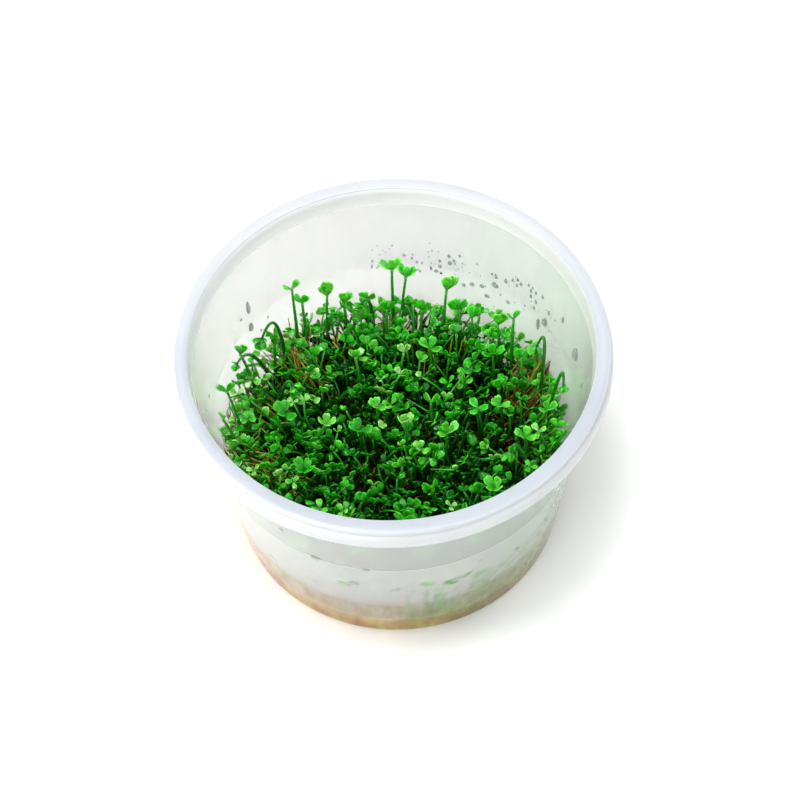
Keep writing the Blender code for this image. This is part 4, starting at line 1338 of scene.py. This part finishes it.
# Condensation on the inside of the wall, and drops on its outside at the front: angle round
# the cup from the right in degrees, height, width and length in millimetres
BACK_DROPS = (
    (95.2, 38.1, 0.6, 0.8), (95.4, 36.0, 0.6, 0.7), (93.1, 36.1, 0.5, 0.6), (84.8, 39.6, 0.6, 0.9),
    (82.2, 38.7, 0.6, 0.8), (80.6, 37.5, 0.6, 0.9), (78.9, 37.3, 0.5, 0.8), (73.0, 38.9, 0.7, 0.9),
    (70.0, 41.2, 0.8, 1.0), (69.6, 38.9, 1.0, 1.1), (72.9, 37.2, 0.9, 1.0), (68.3, 40.0, 0.7, 0.9),
    (66.4, 42.2, 0.7, 0.7), (79.6, 34.5, 0.6, 0.7), (75.9, 35.7, 0.6, 0.7), (74.2, 35.3, 1.0, 0.9),
    (72.5, 34.9, 0.7, 0.7), (64.4, 32.8, 0.9, 1.0), (61.6, 34.1, 1.2, 1.0), (58.0, 34.8, 1.2, 0.9),
    (54.8, 40.3, 0.6, 0.8), (53.2, 40.0, 0.8, 1.1), (53.3, 37.2, 1.7, 1.3), (49.4, 40.5, 0.9, 1.4),
    (46.9, 42.2, 0.7, 1.0), (45.0, 43.3, 0.7, 1.0), (45.1, 41.5, 0.7, 1.0), (43.6, 42.7, 0.8, 1.0),
    (40.5, 44.3, 0.6, 1.0), (38.7, 44.4, 0.5, 0.8), (39.3, 43.0, 0.7, 1.1), (37.1, 43.7, 0.7, 1.0),
    (39.0, 41.4, 0.7, 1.1), (34.0, 44.5, 0.7, 1.1), (36.5, 41.0, 0.7, 1.3), (36.9, 38.6, 0.7, 1.1),
    (30.0, 41.7, 0.8, 1.3), (33.9, 34.8, 1.0, 3.4), (31.0, 37.7, 1.6, 2.4), (22.8, 45.1, 0.8, 1.8),
    (55.8, 32.2, 1.3, 0.9), (47.6, 34.1, 1.1, 0.9), (10.9, 43.3, 2.2, 3.2), (359.5, 42.5, 1.0, 1.6),
    (141.2, 41.9, 1.0, 4.2), (142.1, 35.7, 1.3, 2.6), (145.4, 40.8, 0.6, 0.9), (134.4, 33.9, 0.6, 0.7),
    (138.4, 31.8, 0.6, 0.8),
)
FRONT_DROPS = (
    (233.8, 43.5, 0.9, 1.0), (243.8, 36.1, 2.0, 1.3), (259.5, 35.7, 1.4, 1.2), (255.0, 27.0, 2.2, 1.5),
    (268.5, 25.5, 1.0, 1.2), (308.9, 25.4, 1.2, 1.6), (322.2, 26.3, 0.8, 1.4), (325.0, 30.0, 0.7, 1.8),
    (241.2, 21.0, 0.9, 0.8), (287.0, 26.3, 2.0, 1.0), (294.6, 31.4, 0.8, 0.8),
)


def make_drops():
    """Beads that sag a little, each flattened on the plastic."""
    bpy.ops.object.select_all(action="DESELECT")
    bpy.ops.mesh.primitive_uv_sphere_add(segments=12, ring_count=8, radius=0.5 * MM)
    bead = settle(added("drop"))
    sag = bead.modifiers.new("sag", "SIMPLE_DEFORM")
    sag.deform_method, sag.deform_axis, sag.factor = "TAPER", "Z", -0.45
    bpy.ops.object.modifier_apply(modifier=sag.name)
    bpy.ops.object.shade_smooth()
    spots = list(BACK_DROPS + FRONT_DROPS)
    for _ in range(60):
        size = chance.uniform(0.25, 0.45)
        spots.append((chance.uniform(25, 100), chance.gauss(39, 3), size, size * 1.3))
    for _ in range(16):
        size = chance.uniform(0.3, 0.9)
        spots.append((chance.uniform(165, 235), chance.uniform(22, 46), size, size * 1.4))
    drops = []
    for spot in spots:
        angle, height, width, length = spot
        outside = spot in FRONT_DROPS
        wall = outer_wall if outside else inner_wall
        angle = math.radians(angle)
        place = on_plan(wall(height * MM), angle, height * MM)
        turn = Matrix.Rotation(angle, 4, "Z")
        thick = (0.5 if outside else 0.9) * min(width, length)
        shape = Matrix.Diagonal((thick, width * 1.2, length * 1.2, 1))
        drops.append(copied(bead, Matrix.Translation(place) @ turn @ shape, 0.55 if outside else 0.0))
    drops = joined("condensation_drops", drops)
    done(drops, clear_drop(), "cup_plastic")
    bpy.data.objects.remove(bead, do_unlink=True)


# Floor, light and camera


def make_stage():
    bpy.ops.object.select_all(action="DESELECT")
    bpy.ops.mesh.primitive_plane_add(size=6, location=(0, 0, 0))
    floor = added("floor")
    floor.data.materials.append(pale_floor())


def area_light(name, place, size, power, colour):
    bpy.ops.object.light_add(type="AREA", location=place)
    lamp = added(name)
    lamp.data.size = size
    lamp.data.energy = power
    lamp.data.color = colour
    lamp.rotation_euler = (-Vector(place)).to_track_quat("-Z", "Y").to_euler()


def make_light():
    area_light("softbox_above", (-0.12, -0.05, 0.85), 0.30, 4.6, (1.0, 0.99, 0.97))
    area_light("softbox_front", (-0.35, -0.7, 0.5), 0.6, 2.9, (0.98, 0.99, 1.0))
    area_light("window_behind", (0.55, 0.40, 0.50), 0.35, 1.6, (0.98, 0.99, 1.0))
    area_light("softbox_left", (-0.8, 0.1, 0.3), 0.5, 4.0, (1.0, 0.99, 0.98))
    world = bpy.data.worlds.new("studio")
    world.use_nodes = True
    world.node_tree.nodes["Background"].inputs["Color"].default_value = (0.96, 0.98, 1.0, 1.0)
    world.node_tree.nodes["Background"].inputs["Strength"].default_value = 0.7
    bpy.context.scene.world = world
    bpy.context.scene.view_settings.view_transform = "Standard"


def make_camera():
    """The photo's view: 55 degrees above the horizon, from the front, slightly rolled."""
    target = Vector((1.345, 0.0, 39.72)) * MM
    distance, elevation, roll = 506.55 * MM, 0.9641, -0.0461
    place = target + Vector((0, -math.cos(elevation), math.sin(elevation))) * distance
    bpy.ops.object.camera_add(location=place)
    camera = added("photo_view")
    look = Matrix.Rotation(math.pi / 2 - elevation, 4, "X") @ Matrix.Rotation(roll, 4, "Z")
    camera.matrix_world = Matrix.Translation(place) @ look
    camera.data.lens = 97.8
    camera.data.sensor_width = 36
    camera.data.clip_start = 0.01
    bpy.context.scene.camera = camera


make_stage()
make_light()
make_camera()
make_cup()
make_gel()
make_mat()
green = frond_green()
make_tall_fronds(green)
make_placed_fronds(green)
make_short_fronds(green)
make_wall_fronds(green)
make_wall_growth(green)
make_young_fronds(green)
make_roots()
make_old_stems()
make_drops()
